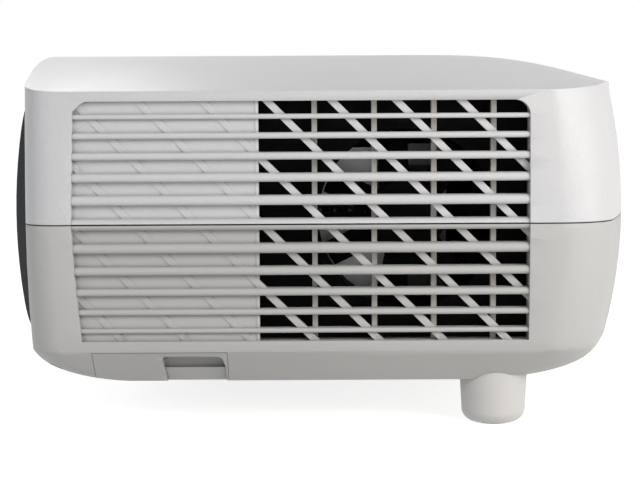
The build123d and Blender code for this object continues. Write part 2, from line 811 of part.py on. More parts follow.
# ---- legs ----
def leg_body(x, y, z_top):
    """A stubby leg that narrows downwards and has a rounded rim."""
    with BuildSketch(Plane.XZ) as profile:
        with BuildLine():
            Polyline((0, sole_proud), (leg_foot_radius - leg_rim_radius, sole_proud))
            ThreePointArc(
                (leg_foot_radius - leg_rim_radius, sole_proud),
                (leg_foot_radius - 0.29 * leg_rim_radius, sole_proud + 0.29 * leg_rim_radius),
                (leg_foot_radius, sole_proud + leg_rim_radius),
            )
            Polyline(
                (leg_foot_radius, sole_proud + leg_rim_radius),
                (leg_top_radius, z_top),
                (0, z_top),
                (0, sole_proud),
            )
        make_face()
    with BuildPart(mode=Mode.PRIVATE) as body:
        revolve(profile.sketch, axis=Axis.Z)
        upright_rod(0, 0, sole_proud - 1, sole_thickness, sole_radius, mode=Mode.SUBTRACT)
    with Locations((x, y, 0)):
        add(body.part)


for side, side_y in (("near", -front_leg_y), ("far", front_leg_y)):
    with BuildPart() as screw_leg:
        leg_body(front_leg_x, side_y, leg_top_z)
        upright_rod(front_leg_x, side_y, leg_top_z - 1, stud_top_z, stud_radius)
    keep(screw_leg, f"{side}_screw_leg")
    with BuildPart() as leg_sole:
        upright_rod(front_leg_x, side_y, 0, sole_thickness, sole_radius)
    keep(leg_sole, f"{side}_leg_sole")

with BuildPart() as rear_leg:
    leg_body(rear_leg_x, 0, underside_z)
keep(rear_leg, "rear_leg")

with BuildPart() as rear_leg_sole:
    upright_rod(rear_leg_x, 0, 0, sole_thickness, sole_radius)
keep(rear_leg_sole, "rear_leg_sole")


# ---- rear fascia and what is set in it ----
board_x = -151.0
speaker_face_x = -151.0       # the speakers' rims lie here, against the fascia's collars
speaker_rim_radius = 28.0
fascia_hole_x = -150.0        # holes through the fascia's face stop here
board_posts = [(-46.0, 70.0), (-46.0, 102.0), (66.0, 70.0), (66.0, 102.0)]
fascia_skin = (fascia_bulk & fascia_window) - (fascia_inner_bulk & fascia_inner_window)


def rear_surface_x(y, z):
    """Where the outer face of the fascia stands."""
    middle_z = (fascia_bottom_z + fascia_top_z) / 2
    half_height = (fascia_top_z - fascia_bottom_z) / 2 + 1
    bulge = fascia_bulge * ((z - middle_z) / half_height) ** 2
    return fascia_front_x + y ** 2 / (2 * rear_plan_radius) + bulge


def fascia_prism(y, z, width, height, radius):
    """A prism along X through the fascia."""
    with BuildSketch(Plane.YZ.offset(fascia_front_x - 5)) as outline:
        with Locations((y, z)):
            RectangleRounded(width, height, radius)
    return extrude(outline.sketch, amount=26, mode=Mode.PRIVATE)


def round_cutter(y, z, radius):
    """A rod along X that pierces the face of the fascia."""
    with BuildPart(mode=Mode.PRIVATE) as cutter:
        axial_rod(fascia_front_x - 5, fascia_hole_x, y, z, radius + part_clearance)
    return cutter.part


speaker_cutters = [round_cutter(y, speaker_z, speaker_radius) for y in (speaker_y, -speaker_y)]
key_cutters = [round_cutter(y, z, key_radius) for y, z in fascia_keys.values()]
receiver_cutter = round_cutter(receiver_y, display_z, receiver_radius)
display_cutter = fascia_prism(0, display_z, *(length + 2 * part_clearance for length in display_size), 2.0)
tray_cutter = fascia_prism(0, tray_slot_z, *tray_slot_size, 2.0)

fascia_middle_bulk, _ = fascia_solid(0.0, fascia_wall / 2)
with BuildPart() as speaker_collars:
    # rings behind the face that the speakers lie against
    for y in (-speaker_y, speaker_y):
        axial_rod(fascia_front_x, speaker_face_x, y, speaker_z, speaker_rim_radius)
    add(fascia_middle_bulk, mode=Mode.INTERSECT)
    for y in (-speaker_y, speaker_y):
        axial_rod(fascia_front_x - 5, fascia_hole_x, y, speaker_z, speaker_radius + 2 * part_clearance,
                  mode=Mode.SUBTRACT)

pierced_face = fascia_skin
for cutter in (*speaker_cutters, *key_cutters, receiver_cutter, display_cutter, tray_cutter):
    pierced_face = pierced_face - cutter

with BuildPart() as rear_fascia:
    add(pierced_face)
    add(speaker_collars.part)
    for y, z in board_posts:
        axial_rod(rear_surface_x(y, z) + fascia_wall / 2, board_x, y, z, 2.5)
keep(rear_fascia, "rear_fascia")

with BuildPart() as tray_front:
    add(fascia_bulk)
    add(fascia_prism(0, tray_slot_z, *(length - 2 * part_clearance for length in tray_slot_size), 1.7),
        mode=Mode.INTERSECT)
    span_box(fascia_front_x - 5, -152.0, -200, 200, 0, 300, mode=Mode.INTERSECT)
    span_box(-152.5, player_rear_x, -tray_half_width + 8, tray_half_width - 8, tray_floor_z + 1,
             tray_floor_z + 7)
keep(tray_front, "tray_front")

with BuildPart() as fascia_windows:
    # display window and the round window of the remote-control receiver
    add(fascia_skin)
    with BuildPart(mode=Mode.PRIVATE) as window_shapes:
        add(fascia_prism(0, display_z, *display_size, 1.7))
        axial_rod(fascia_front_x - 5, fascia_hole_x, receiver_y, display_z, receiver_radius)
    add(window_shapes.part, mode=Mode.INTERSECT)
keep(fascia_windows, "fascia_windows")

with BuildPart() as speaker_grilles:
    add(fascia_skin)
    with BuildPart(mode=Mode.PRIVATE) as discs:
        for y in (-speaker_y, speaker_y):
            axial_rod(fascia_front_x - 5, fascia_hole_x, y, speaker_z, speaker_radius)
    add(discs.part, mode=Mode.INTERSECT)
    with BuildSketch(Plane.YZ.offset(fascia_front_x - 5)) as holes:
        with Locations((-speaker_y, speaker_z), (speaker_y, speaker_z)):
            Circle(grille_hole_radius)
            for ring in range(1, 6):
                with PolarLocations(ring * grille_hole_pitch, 6 * ring):
                    Circle(grille_hole_radius)
    extrude(holes.sketch, amount=26, mode=Mode.SUBTRACT)
keep(speaker_grilles, "speaker_grilles")

with BuildPart() as speaker:
    with BuildSketch(Plane.XY) as section:
        with BuildLine():
            Polyline(
                (0, speaker_rim_radius), (2.0, speaker_rim_radius), (2.0, 25.0), (10.0, 13.0), (18.0, 13.0),
                (18.0, 0), (8.0, 0), (8.0, 9.0), (0.8, 23.5), (0, 23.5), close=True,
            )
        make_face()
    revolve(section.sketch, axis=Axis.X)
with BuildPart() as speakers:
    with Locations((speaker_face_x, -speaker_y, speaker_z), (speaker_face_x, speaker_y, speaker_z)):
        add(speaker.part)
keep(speakers, "speakers")

for name, (y, z) in fascia_keys.items():
    with BuildPart() as key:
        face_x = rear_surface_x(y, z)
        axial_rod(face_x - key_proud, face_x + 5, y, z, key_radius)
        axial_rod(face_x + fascia_wall + 0.4, face_x + fascia_wall + 1.6, y, z, key_radius + 1.5)
        axial_rod(face_x + 4, board_x - key_travel - 0.2, y, z, 2.0)
        cap_rim = key.edges().filter_by(GeomType.CIRCLE).sort_by(Axis.X)[0]
        fillet(cap_rim, 0.6)
    keep(key, name)


# ---- keys on the crown ----
for name, (x, y, radius) in top_keys.items():
    with BuildPart() as key:
        face_z = crown_surface_z(x, y)
        lowest_z = crown_surface_z(x, abs(y) + radius)
        upright_rod(x, y, face_z - 5, face_z + key_proud, radius)
        upright_rod(x, y, lowest_z - wall - 1.6, lowest_z - wall - 0.4, radius + 1.5)
        upright_rod(x, y, keypad_z + keypad_thickness + key_travel + 0.2, face_z - 4, 2.0)
        cap_rim = key.edges().filter_by(GeomType.CIRCLE).sort_by(Axis.Z)[-1]
        fillet(cap_rim, 0.6)
    keep(key, name)


with BuildPart() as control_boards:
    # behind the fascia, under the crown keys and on the light engine beside its imager
    span_box(board_x, board_x + panel_thickness, -50, 70, 66, 106)
    span_box(-100, -18, keypad_y - 34, keypad_y + 34, keypad_z, keypad_z + keypad_thickness)
    span_box(30, 66, 20 - panel_thickness, 20, 62, 122)
    span_box(38, 58, 14, 20 - panel_thickness, 84, 104)
keep(control_boards, "control_boards")


# ---- disc player ----
player_top_z = player_floor_z + player_height
tray_top_z = tray_floor_z + tray_thickness
gear_pitch_radius = gear_module * gear_teeth / 2
gear_y = rack_pitch_line_y + gear_pitch_radius
gear_z = player_floor_z + sheet + 2.6
disc_face_z = tray_top_z - disc_recess
tooth_pitch = math.pi * gear_module
tooth_height = 0.75 * gear_module

runner_inner_y = 71.5
lip_outer_y = 72.0
lip_depth = 1.5
gear_post_radius = 4.0
rail_y = 17.0
rail_height = 6.0
rail_block = (3.0, 6.0, 9.0)

with BuildPart() as loader_chassis:
    span_box(player_rear_x, player_front_x, -player_half_width, player_half_width,
             player_floor_z, player_top_z - sheet)
    span_box(player_rear_x - 1, player_front_x - sheet,
             -player_half_width + sheet, player_half_width - sheet,
             player_floor_z + sheet, player_top_z, mode=Mode.SUBTRACT)
    # runners under and beside the tray
    for side in (-1, 1):
        runner = sorted((side * runner_inner_y, side * (player_half_width - sheet / 2)))
        span_box(player_rear_x, player_front_x - sheet, *runner,
                 player_floor_z + sheet / 2, tray_floor_z - part_clearance)
        lip = sorted((side * (tray_half_width - lip_depth), side * lip_outer_y))
        span_box(player_rear_x, player_front_x - sheet, *lip,
                 tray_floor_z - lip_depth, tray_floor_z - part_clearance)
    upright_rod(gear_x, gear_y, player_floor_z, gear_z, gear_post_radius)
    upright_rod(gear_x, gear_y, player_floor_z - 1, gear_z + 1, shaft_radius, mode=Mode.SUBTRACT)
    # blocks that hold the two sled rails and the lead screw's motor
    for x in (disc_x + pickup_inner_radius - 14, disc_x + pickup_inner_radius + pickup_travel + 12):
        for y in (-rail_y, rail_y):
            block_length, block_width, block_height = rail_block
            span_box(x - block_length / 2, x + block_length / 2, y - block_width / 2, y + block_width / 2,
                     player_floor_z + sheet / 2, player_floor_z + block_height)
            axial_rod(x - 2, x + 2, y, player_floor_z + rail_height, shaft_radius, mode=Mode.SUBTRACT)
keep(loader_chassis, "loader_chassis")

with BuildPart() as loader_lid:
    span_box(player_rear_x, player_front_x, -player_half_width, player_half_width,
             player_top_z - sheet, player_top_z)
    upright_rod(disc_x, 0, player_floor_z, player_top_z + 1, 10.5, mode=Mode.SUBTRACT)
    for x in (player_rear_x + 30, player_front_x - 30):
        for y in (-50.0, 50.0):
            with Locations((x, y, player_top_z)):
                Box(26, 8, 0.8)
keep(loader_lid, "loader_lid")

with BuildPart() as disc_tray:
    span_box(player_rear_x, tray_front_x, -tray_half_width, tray_half_width, tray_floor_z, tray_top_z)
    upright_rod(disc_x, 0, disc_face_z, tray_top_z + 1, disc_radius + 0.6, mode=Mode.SUBTRACT)
    upright_rod(disc_x, 0, disc_face_z - 1.2, tray_top_z, disc_radius - 16, mode=Mode.SUBTRACT)
    upright_rod(disc_x, 0, tray_floor_z - 1, tray_top_z, tray_slot_half_width - 4, mode=Mode.SUBTRACT)
    span_box(disc_x, tray_front_x + 1, -tray_slot_half_width, tray_slot_half_width, tray_floor_z - 1,
             tray_top_z + 1,
             mode=Mode.SUBTRACT)
    # rack along the near side, under the tray
    rack_rear_x = player_rear_x + 7
    rack_teeth = math.floor((tray_front_x - 3 - rack_rear_x) / tooth_pitch)
    root_y = rack_pitch_line_y - tooth_height - 0.15
    with BuildSketch(Plane.XY.offset(gear_z)) as rack:
        with Locations(((rack_rear_x + tray_front_x - 3) / 2, root_y - 1.5)):
            Rectangle(tray_front_x - 3 - rack_rear_x, 3.0)
        first_space = math.ceil((rack_rear_x + tooth_pitch - gear_x) / tooth_pitch)
        last_space = math.floor((tray_front_x - 3 - tooth_pitch - gear_x) / tooth_pitch)
        for number in range(first_space, last_space):
            x = gear_x + (number + 0.5) * tooth_pitch
            flank = tooth_height * math.tan(math.radians(20))
            half = tooth_pitch / 4 - tooth_backlash / 2
            with BuildLine():
                Polyline(
                    (x - half - flank, root_y), (x - half + flank, rack_pitch_line_y + tooth_height),
                    (x + half - flank, rack_pitch_line_y + tooth_height), (x + half + flank, root_y),
                    close=True,
                )
            make_face()
    extrude(rack.sketch, amount=tray_floor_z - gear_z + 0.5)
keep(disc_tray, "disc_tray")

with BuildSketch() as gear_tooth:
    flank = tooth_height * math.tan(math.radians(20))
    half = tooth_pitch / 4 - tooth_backlash / 2
    with BuildLine():
        Polyline(
            (gear_pitch_radius - tooth_height - 0.6, -half - flank),
            (gear_pitch_radius + tooth_height, -half + flank + 0.1),
            (gear_pitch_radius + tooth_height, half - flank - 0.1),
            (gear_pitch_radius - tooth_height - 0.6, half + flank),
            close=True,
        )
    make_face()

with BuildPart() as loading_gear:
    with BuildSketch(Plane.XY.offset(gear_z + 0.05)) as gear_outline:
        with Locations((gear_x, gear_y)):
            Circle(gear_pitch_radius - tooth_height - 0.15)
            with PolarLocations(0, gear_teeth, start_angle=-90):
                add(gear_tooth.sketch)
    extrude(gear_outline.sketch, amount=gear_thickness)
    upright_rod(gear_x, gear_y, gear_z, gear_z + gear_thickness + 1, shaft_radius + running_clearance,
                mode=Mode.SUBTRACT)
keep(loading_gear, "loading_gear")

spindle_top_z = disc_face_z + 1.0
rail_rear_x = disc_x + pickup_inner_radius - 15
rail_front_x = disc_x + pickup_inner_radius + pickup_travel + 13
screw_front_x = rail_front_x + 4
wheel_x = -38.0
wheel_y = lamp_y + 16.0
wheel_z = lamp_z + 8.0
with BuildPart() as drive_motors:
    # tray loading motor, disc spindle motor, sled motor and colour wheel motor
    upright_rod(gear_x, gear_y, player_floor_z - 13, player_floor_z, 11.0)
    upright_rod(gear_x, gear_y, player_floor_z - 1, gear_z + gear_thickness, shaft_radius - 0.02)
    upright_rod(disc_x, 0, player_floor_z + sheet, player_floor_z + sheet + 6.5, 13.0)
    upright_rod(disc_x, 0, player_floor_z + sheet, spindle_top_z - 2, shaft_radius)
    span_box(screw_front_x, screw_front_x + 13, 3.2, 12.8, player_floor_z + sheet, player_floor_z + 10)
    axial_rod(wheel_x + 2.5, -28, wheel_y, wheel_z, 8.0)
    axial_rod(wheel_x - 2, -28, wheel_y, wheel_z, shaft_radius)
keep(drive_motors, "drive_motors")

with BuildPart() as turntable:
    upright_rod(disc_x, 0, player_floor_z + sheet + 6.8, disc_face_z - 0.6, turntable_radius)
    with Locations((disc_x, 0, disc_face_z + 0.2)):
        Cone(7.4, 6.2, 1.6)
    upright_rod(disc_x, 0, player_floor_z, spindle_top_z - 2 + running_clearance,
                shaft_radius + running_clearance,
                mode=Mode.SUBTRACT)
keep(turntable, "turntable")

with BuildPart() as clamp_puck:
    upright_rod(disc_x, 0, disc_face_z + 4.2, player_top_z - sheet - 0.3, 13.0)
    upright_rod(disc_x, 0, player_top_z - sheet - 0.5, player_top_z + 0.5, 10.0)
    upright_rod(disc_x, 0, player_top_z + 0.1, player_top_z + 1.6, 12.5)
keep(clamp_puck, "clamp_puck")

with BuildPart() as sled_rails:
    for y in (-17.0, 17.0):
        axial_rod(rail_rear_x, rail_front_x, y, player_floor_z + 6, shaft_radius - 0.01)
keep(sled_rails, "sled_rails")

sled_x = disc_x + pickup_inner_radius
with BuildPart() as pickup_sled:
    span_box(sled_x - 8, sled_x + 9, -20.5, 20.5, player_floor_z + 2.2, player_floor_z + 9)
    upright_rod(sled_x, 0, player_floor_z + 8, player_floor_z + 11, 7.0)
    upright_rod(sled_x, 0, player_floor_z + 9.6, player_floor_z + 12, 3.6, mode=Mode.SUBTRACT)
    for y in (-17.0, 17.0):
        axial_rod(sled_x - 11, sled_x + 10, y, player_floor_z + 6, shaft_radius + running_clearance,
                  mode=Mode.SUBTRACT)
    axial_rod(sled_x - 11, sled_x + 10, 8.0, player_floor_z + 6, shaft_radius + running_clearance,
              mode=Mode.SUBTRACT)
keep(pickup_sled, "pickup_sled")

with BuildPart() as pickup_lens:
    upright_rod(sled_x, 0, player_floor_z + 9.6, player_floor_z + 11.2, 3.4)
keep(pickup_lens, "pickup_lens")

with BuildPart() as lead_screw:
    axial_rod(sled_x - 12, screw_front_x, 8.0, player_floor_z + 6, shaft_radius)
keep(lead_screw, "lead_screw")


# ---- optics ----
with BuildPart() as light_engine:
    span_box(-28, 28, -118, 20, engine_arm_bottom_z, 98)
    span_box(-20, 28, 19, 104, engine_bottom_z, 103)
    span_box(27, barrel_rear_x, 20, 104, engine_bottom_z, 135)
    upright_rod(18, 40, 102, player_floor_z, 5.0)
    # cooling fins on the arm and round the front block
    for x in range(-22, 27, 8):
        span_box(x, x + 2, -112, -70, 97.5, 104)
    for z in range(52, 130, 8):
        span_box(34, barrel_rear_x - 4, 103.5, 110, z, z + 2)
    # light port towards the lamp and the flange for the lens
    axial_rod(-29, 10, lamp_y, lamp_z, 7.0, mode=Mode.SUBTRACT)
    axial_rod(barrel_rear_x - 20, barrel_rear_x + 1, lens_y, lens_z, barrel_radius - barrel_wall,
              mode=Mode.SUBTRACT)
keep(light_engine, "light_engine")

with BuildPart() as lens_barrel:
    axial_rod(barrel_rear_x, barrel_front_x, lens_y, lens_z, barrel_radius)
    axial_rod(barrel_rear_x, barrel_rear_x + 5, lens_y, lens_z, barrel_radius + 6)
    axial_rod(barrel_rear_x + 44, barrel_rear_x + 46, lens_y, lens_z, barrel_radius + 2.5)
    axial_rod(barrel_front_x - 2, barrel_front_x, lens_y, lens_z, barrel_radius + 2.0)
    axial_rod(barrel_rear_x - 1, barrel_front_x + 1, lens_y, lens_z, barrel_radius - barrel_wall,
              mode=Mode.SUBTRACT)
keep(lens_barrel, "lens_barrel")


def grip_ring(x_low, x_high, name):
    """A knurled ring that turns on the lens barrel."""
    outer = barrel_radius + ring_wall
    with BuildPart() as ring:
        axial_rod(x_low, x_high, lens_y, lens_z, outer)
        with BuildSketch(Plane.YZ.offset(x_low + 1.5)) as ribs:
            with Locations((lens_y, lens_z)):
                with PolarLocations(outer, 36):
                    Circle(0.9)
        extrude(ribs.sketch, amount=x_high - x_low - 3)
        axial_rod(x_low - 1, x_high + 1, lens_y, lens_z, barrel_radius + running_clearance,
                  mode=Mode.SUBTRACT)
    keep(ring, name)


grip_ring(barrel_rear_x + 46.3, barrel_rear_x + 56.7, "zoom_ring")
grip_ring(barrel_rear_x + 57.2, barrel_front_x - 2.3, "focus_ring")

glass_radius = barrel_radius - barrel_wall - 0.1
lens_bulge = 6.0
bulge_radius = (glass_radius ** 2 + lens_bulge ** 2) / (2 * lens_bulge)
with BuildPart() as front_lens:
    with BuildSketch(Plane.XY) as lens_profile:
        with BuildLine():
            Polyline((barrel_front_x, 0), (barrel_front_x - 12, 0), (barrel_front_x - 12, glass_radius),
                     (barrel_front_x - lens_bulge, glass_radius))
            CenterArc((barrel_front_x - bulge_radius, 0), bulge_radius, 0,
                      math.degrees(math.asin(glass_radius / bulge_radius)))
        make_face()
    revolve(lens_profile.sketch, axis=Axis.X)
front_lens.part = front_lens.part.moved(Location((0, lens_y, lens_z)))
keep(front_lens, "front_lens")

with BuildPart() as lens_surround:
    add(casing_outer)
    axial_rod(barrel_front_x - 16, case_front_x + 5, lens_y, lens_z, lens_mouth_radius, mode=Mode.INTERSECT)
    with BuildPart(mode=Mode.PRIVATE) as bowl:
        with BuildSketch(Plane.XY) as bowl_profile:
            with BuildLine():
                Polyline(
                    (barrel_front_x - 20, 0), (barrel_front_x - 20, lens_bowl_radius),
                    (barrel_front_x - 12, lens_bowl_radius), (case_front_x - 6, lens_mouth_radius - 2.2),
                    (case_front_x + 6, lens_mouth_radius - 1.2), (case_front_x + 6, 0), close=True,
                )
            make_face()
        revolve(bowl_profile.sketch, axis=Axis.X)
    add(bowl.part.moved(Location((0, lens_y, lens_z))), mode=Mode.SUBTRACT)
keep(lens_surround, "lens_surround")

with BuildPart() as colour_wheel:
    axial_rod(wheel_x - 0.6, wheel_x + 0.6, wheel_y, wheel_z, wheel_radius)
    axial_rod(wheel_x - 2.5, wheel_x + 2.2, wheel_y, wheel_z, 7.0)
    axial_rod(wheel_x - 2 - running_clearance, wheel_x + 3, wheel_y, wheel_z,
              shaft_radius + running_clearance,
              mode=Mode.SUBTRACT)
keep(colour_wheel, "colour_wheel")

reflector_rim_x = -72.0
housing_near_y = -148.0
housing_far_y = -70.0
housing_top_z = 99.0
housing_wall = 3.0
housing_skin = 2.5
housing_gap = 2.0
housing_foot = (-127.0, -44.0, -132.0)
ear_places = (-140.0, -78.0)
ear_width = 16.0
beam_hole_radius = 20.0

with BuildPart() as lamp_housing:
    span_box(lamp_rear_x, lamp_front_x, housing_near_y, housing_far_y,
             lamp_plate_z + housing_gap, housing_top_z)
    span_box(lamp_rear_x - 1, lamp_front_x + 1, housing_near_y + housing_wall, housing_far_y - housing_wall,
             lamp_plate_z + housing_gap + housing_skin, housing_top_z - housing_skin, mode=Mode.SUBTRACT)
    span_box(*housing_foot, housing_far_y, lamp_plate_z, lamp_plate_z + housing_skin)
    for y in ear_places:
        span_box(lamp_rear_x, lamp_rear_x + 2, y - ear_width / 2, y + ear_width / 2,
                 lamp_plate_z + housing_gap, housing_top_z)
    # plate that the reflector's rim lies against
    plate_x = reflector_rim_x + part_clearance
    span_box(plate_x, plate_x + 2, housing_near_y + 2, housing_far_y - 2,
             lamp_plate_z + 3, housing_top_z - 1)
    axial_rod(reflector_rim_x, reflector_rim_x + 4, lamp_y, lamp_z, beam_hole_radius, mode=Mode.SUBTRACT)
keep(lamp_housing, "lamp_housing")

with BuildPart() as lamp_burner:
    # a deep bowl reflector with the arc tube in its neck
    with BuildSketch(Plane.XY) as bowl_section:
        with BuildLine():
            Spline((-106, 7), (-98, 14), (-84, 19.5), (reflector_rim_x, 22))
            Polyline((reflector_rim_x, 22), (reflector_rim_x, 24), (-79, 24))
            Spline((-79, 24), (-86, 21.5), (-100, 16), (-108, 9))
            Polyline((-108, 9), (-112, 9), (-112, 0), (-80, 0), (-80, 1.6), (-90, 1.6), (-90, 4.5),
                     (-98, 4.5), (-98, 2.0), (-106, 2.0), (-106, 7))
        make_face()
    revolve(bowl_section.sketch, axis=Axis.X)
    axial_rod(-80.1, -78.9, 0, 0, 1.6)
lamp_burner.part = lamp_burner.part.moved(Location((0, lamp_y, lamp_z)))
keep(lamp_burner, "lamp_burner")


# ---- electronics ----
solder_depth = 0.2


def board_with_parts(x_low, x_high, y_low, y_high, z_low, blocks, cans, name):
    """A circuit board lying flat, with square blocks and round cans soldered on."""
    top_z = z_low + panel_thickness
    with BuildPart() as board:
        span_box(x_low, x_high, y_low, y_high, z_low, top_z)
        for x, y, length, width, height in blocks:
            span_box(x - length / 2, x + length / 2, y - width / 2, y + width / 2,
                     top_z - solder_depth, top_z + height)
        for x, y, radius, height in cans:
            upright_rod(x, y, top_z - solder_depth, top_z + height, radius)
    keep(board, name)


board_with_parts(
    -135, -25, 80, 134, supply_bottom_z,
    blocks=[(-100, 107, 34, 30, 30), (-60, 118, 4, 26, 26), (-45, 96, 22, 16, 18), (-122, 96, 14, 20, 14)],
    cans=[(-74, 96, 11, 32), (-126, 122, 6, 14), (-112, 128, 4, 12)],
    name="power_supply",
)
board_with_parts(
    -125, -50, 20, 62, ballast_bottom_z,
    blocks=[(-104, 41, 26, 24, 22), (-66, 50, 16, 14, 14)],
    cans=[(-80, 33, 7, 20), (-80, 50, 5, 16)],
    name="lamp_ballast",
)

board_y = 138.0
with BuildPart() as main_board:
    span_box(-112, 54, board_y, board_y + panel_thickness, 44, 99)
    for x, z, size in ((-20.0, 74.0, 26.0), (24.0, 78.0, 18.0), (-78.0, 80.0, 14.0), (-50.0, 88.0, 10.0)):
        span_box(x - size / 2, x + size / 2, board_y - 2.4, board_y + 0.2, z - size / 2, z + size / 2)
keep(main_board, "main_board")

round_jacks = [-60.0, -44.0, -28.0]
jack_z = 71.0
wide_sockets = [(-4.0, 31.0, 11.5), (34.0, 16.0, 7.0)]
inlet_x = -86.0
inlet_size = (27.0, 19.0)
panel_hole_clearance = 0.2
jack_radius = 5.5
jack_neck_radius = 4.2
jack_bore_radius = 1.7
socket_proud = 2.4
socket_wall = 1.2

with BuildPart() as port_panel:
    span_box(panel_rear_x, panel_front_x, panel_y, panel_y + panel_thickness, panel_bottom_z, panel_top_z)
    for x in round_jacks:
        cross_rod(x, panel_y - 1, panel_y + 3, jack_z, jack_radius + panel_hole_clearance,
                  mode=Mode.SUBTRACT)
    for x, width, height in wide_sockets + [(inlet_x, *inlet_size)]:
        hole_half = width / 2 + panel_hole_clearance
        hole_rise = height / 2 + panel_hole_clearance
        span_box(x - hole_half, x + hole_half, panel_y - 1, panel_y + 3,
                 jack_z - hole_rise, jack_z + hole_rise,
                 mode=Mode.SUBTRACT)
keep(port_panel, "port_panel")

socket_back_y = board_y + panel_thickness
with BuildPart() as signal_sockets:
    for x in round_jacks:
        cross_rod(x, socket_back_y, panel_y + 2.5, jack_z, jack_radius)
        cross_rod(x, panel_y + 2, panel_y + 7.5, jack_z, jack_neck_radius)
        cross_rod(x, panel_y - 4, panel_y + 8, jack_z, jack_bore_radius, mode=Mode.SUBTRACT)
    for x, width, height in wide_sockets:
        socket_half, socket_rise = width / 2, height / 2
        span_box(x - socket_half, x + socket_half, socket_back_y, panel_y + socket_proud,
                 jack_z - socket_rise, jack_z + socket_rise)
        span_box(x - socket_half + socket_wall, x + socket_half - socket_wall, panel_y - 3, panel_y + 3,
                 jack_z - socket_rise + socket_wall, jack_z + socket_rise - socket_wall, mode=Mode.SUBTRACT)
        # tongue in the socket's middle
        tongue_half = socket_half - 2 * socket_wall
        span_box(x - tongue_half, x + tongue_half, panel_y - 4, panel_y + 1.4,
                 jack_z - 1.0, jack_z + 1.0)
keep(signal_sockets, "signal_sockets")

inlet_wall = 1.6
inlet_pins = ((-7.0, -3.5), (0.0, 0.0), (7.0, -3.5))
inlet_pin_size = (2.0, 4.0)
with BuildPart() as mains_inlet:
    width, height = inlet_size
    span_box(inlet_x - width / 2, inlet_x + width / 2, socket_back_y, panel_y + socket_proud,
             jack_z - height / 2, jack_z + height / 2)
    span_box(inlet_x - width / 2 + inlet_wall, inlet_x + width / 2 - inlet_wall, panel_y - 13, panel_y + 3,
             jack_z - height / 2 + inlet_wall, jack_z + height / 2 - inlet_wall, mode=Mode.SUBTRACT)
    pin_width, pin_height = inlet_pin_size
    for x, z in inlet_pins:
        pin_x, pin_z = inlet_x + x, jack_z + z
        span_box(pin_x - pin_width / 2, pin_x + pin_width / 2, panel_y - 14, panel_y - 1,
                 pin_z - pin_height / 2, pin_z + pin_height / 2)
keep(mains_inlet, "mains_inlet")


# ---- fasteners ----
with BuildPart() as ceiling_inserts:
    for x, y in inserts():
        upright_rod(x, y, underside_z + 0.2, underside_z + insert_length, insert_radius)
        upright_rod(x, y, underside_z, underside_z + insert_length + 1, insert_bore_radius,
                    mode=Mode.SUBTRACT)
keep(ceiling_inserts, "ceiling_inserts")

with BuildPart() as casing_screws:
    for x, y in screw_places:
        upright_rod(x, y, screw_seat_z - 2.6, screw_seat_z, screw_head_radius)
        upright_rod(x, y, screw_seat_z - 0.1, screw_seat_z + screw_length, screw_shank_radius)
        for turn in (0, 90):
            with Locations(Location((x, y, screw_seat_z - 2.6), (0, 0, turn))):
                Box(3.6, 0.9, 2.4, mode=Mode.SUBTRACT)
keep(casing_screws, "casing_screws")
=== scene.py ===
"""Home-cinema projector with a built-in disc player, finished and lit for its portrait.

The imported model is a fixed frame: its nodes keep their places and get their finishes here, and the fine
parts that it leaves out are modelled round it. Metres, +X towards the lens end, +Z up, and the louvred
side faces -Y.
"""

import enum
import json
import logging
import math
from dataclasses import dataclass
from typing import Any

import bmesh
import bpy
from mathutils import Matrix, Vector

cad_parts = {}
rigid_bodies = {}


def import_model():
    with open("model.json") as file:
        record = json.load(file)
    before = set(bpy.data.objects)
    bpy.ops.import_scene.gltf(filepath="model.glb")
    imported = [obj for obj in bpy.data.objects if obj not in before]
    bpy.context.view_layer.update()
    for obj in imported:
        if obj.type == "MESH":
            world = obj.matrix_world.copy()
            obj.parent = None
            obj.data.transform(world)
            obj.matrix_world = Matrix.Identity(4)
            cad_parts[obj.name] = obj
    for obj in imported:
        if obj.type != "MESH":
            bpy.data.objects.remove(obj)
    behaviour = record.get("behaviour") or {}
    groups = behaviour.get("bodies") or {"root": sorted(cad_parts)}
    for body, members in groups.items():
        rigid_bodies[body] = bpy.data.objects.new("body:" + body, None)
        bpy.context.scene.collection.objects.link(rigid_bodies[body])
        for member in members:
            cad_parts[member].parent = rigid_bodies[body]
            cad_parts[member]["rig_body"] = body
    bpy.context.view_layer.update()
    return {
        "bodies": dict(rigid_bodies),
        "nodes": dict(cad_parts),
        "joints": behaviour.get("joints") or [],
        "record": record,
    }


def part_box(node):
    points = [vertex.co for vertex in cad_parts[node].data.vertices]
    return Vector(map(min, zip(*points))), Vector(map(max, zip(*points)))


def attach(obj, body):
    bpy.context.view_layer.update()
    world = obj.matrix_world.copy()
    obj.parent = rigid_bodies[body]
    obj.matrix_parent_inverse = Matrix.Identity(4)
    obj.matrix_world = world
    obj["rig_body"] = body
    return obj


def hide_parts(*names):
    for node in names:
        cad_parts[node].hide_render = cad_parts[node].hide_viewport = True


MM = 0.001
# how far the painted shade that darkens crevices reaches
PAINTED_SHADE_REACH = 0.0028
log = logging.getLogger("projector")

Colour = tuple[float, float, float]
# colour of the painted shade in crevices and narrow gaps
PAINTED_SHADE_COLOUR: Colour = (0.05, 0.048, 0.045)


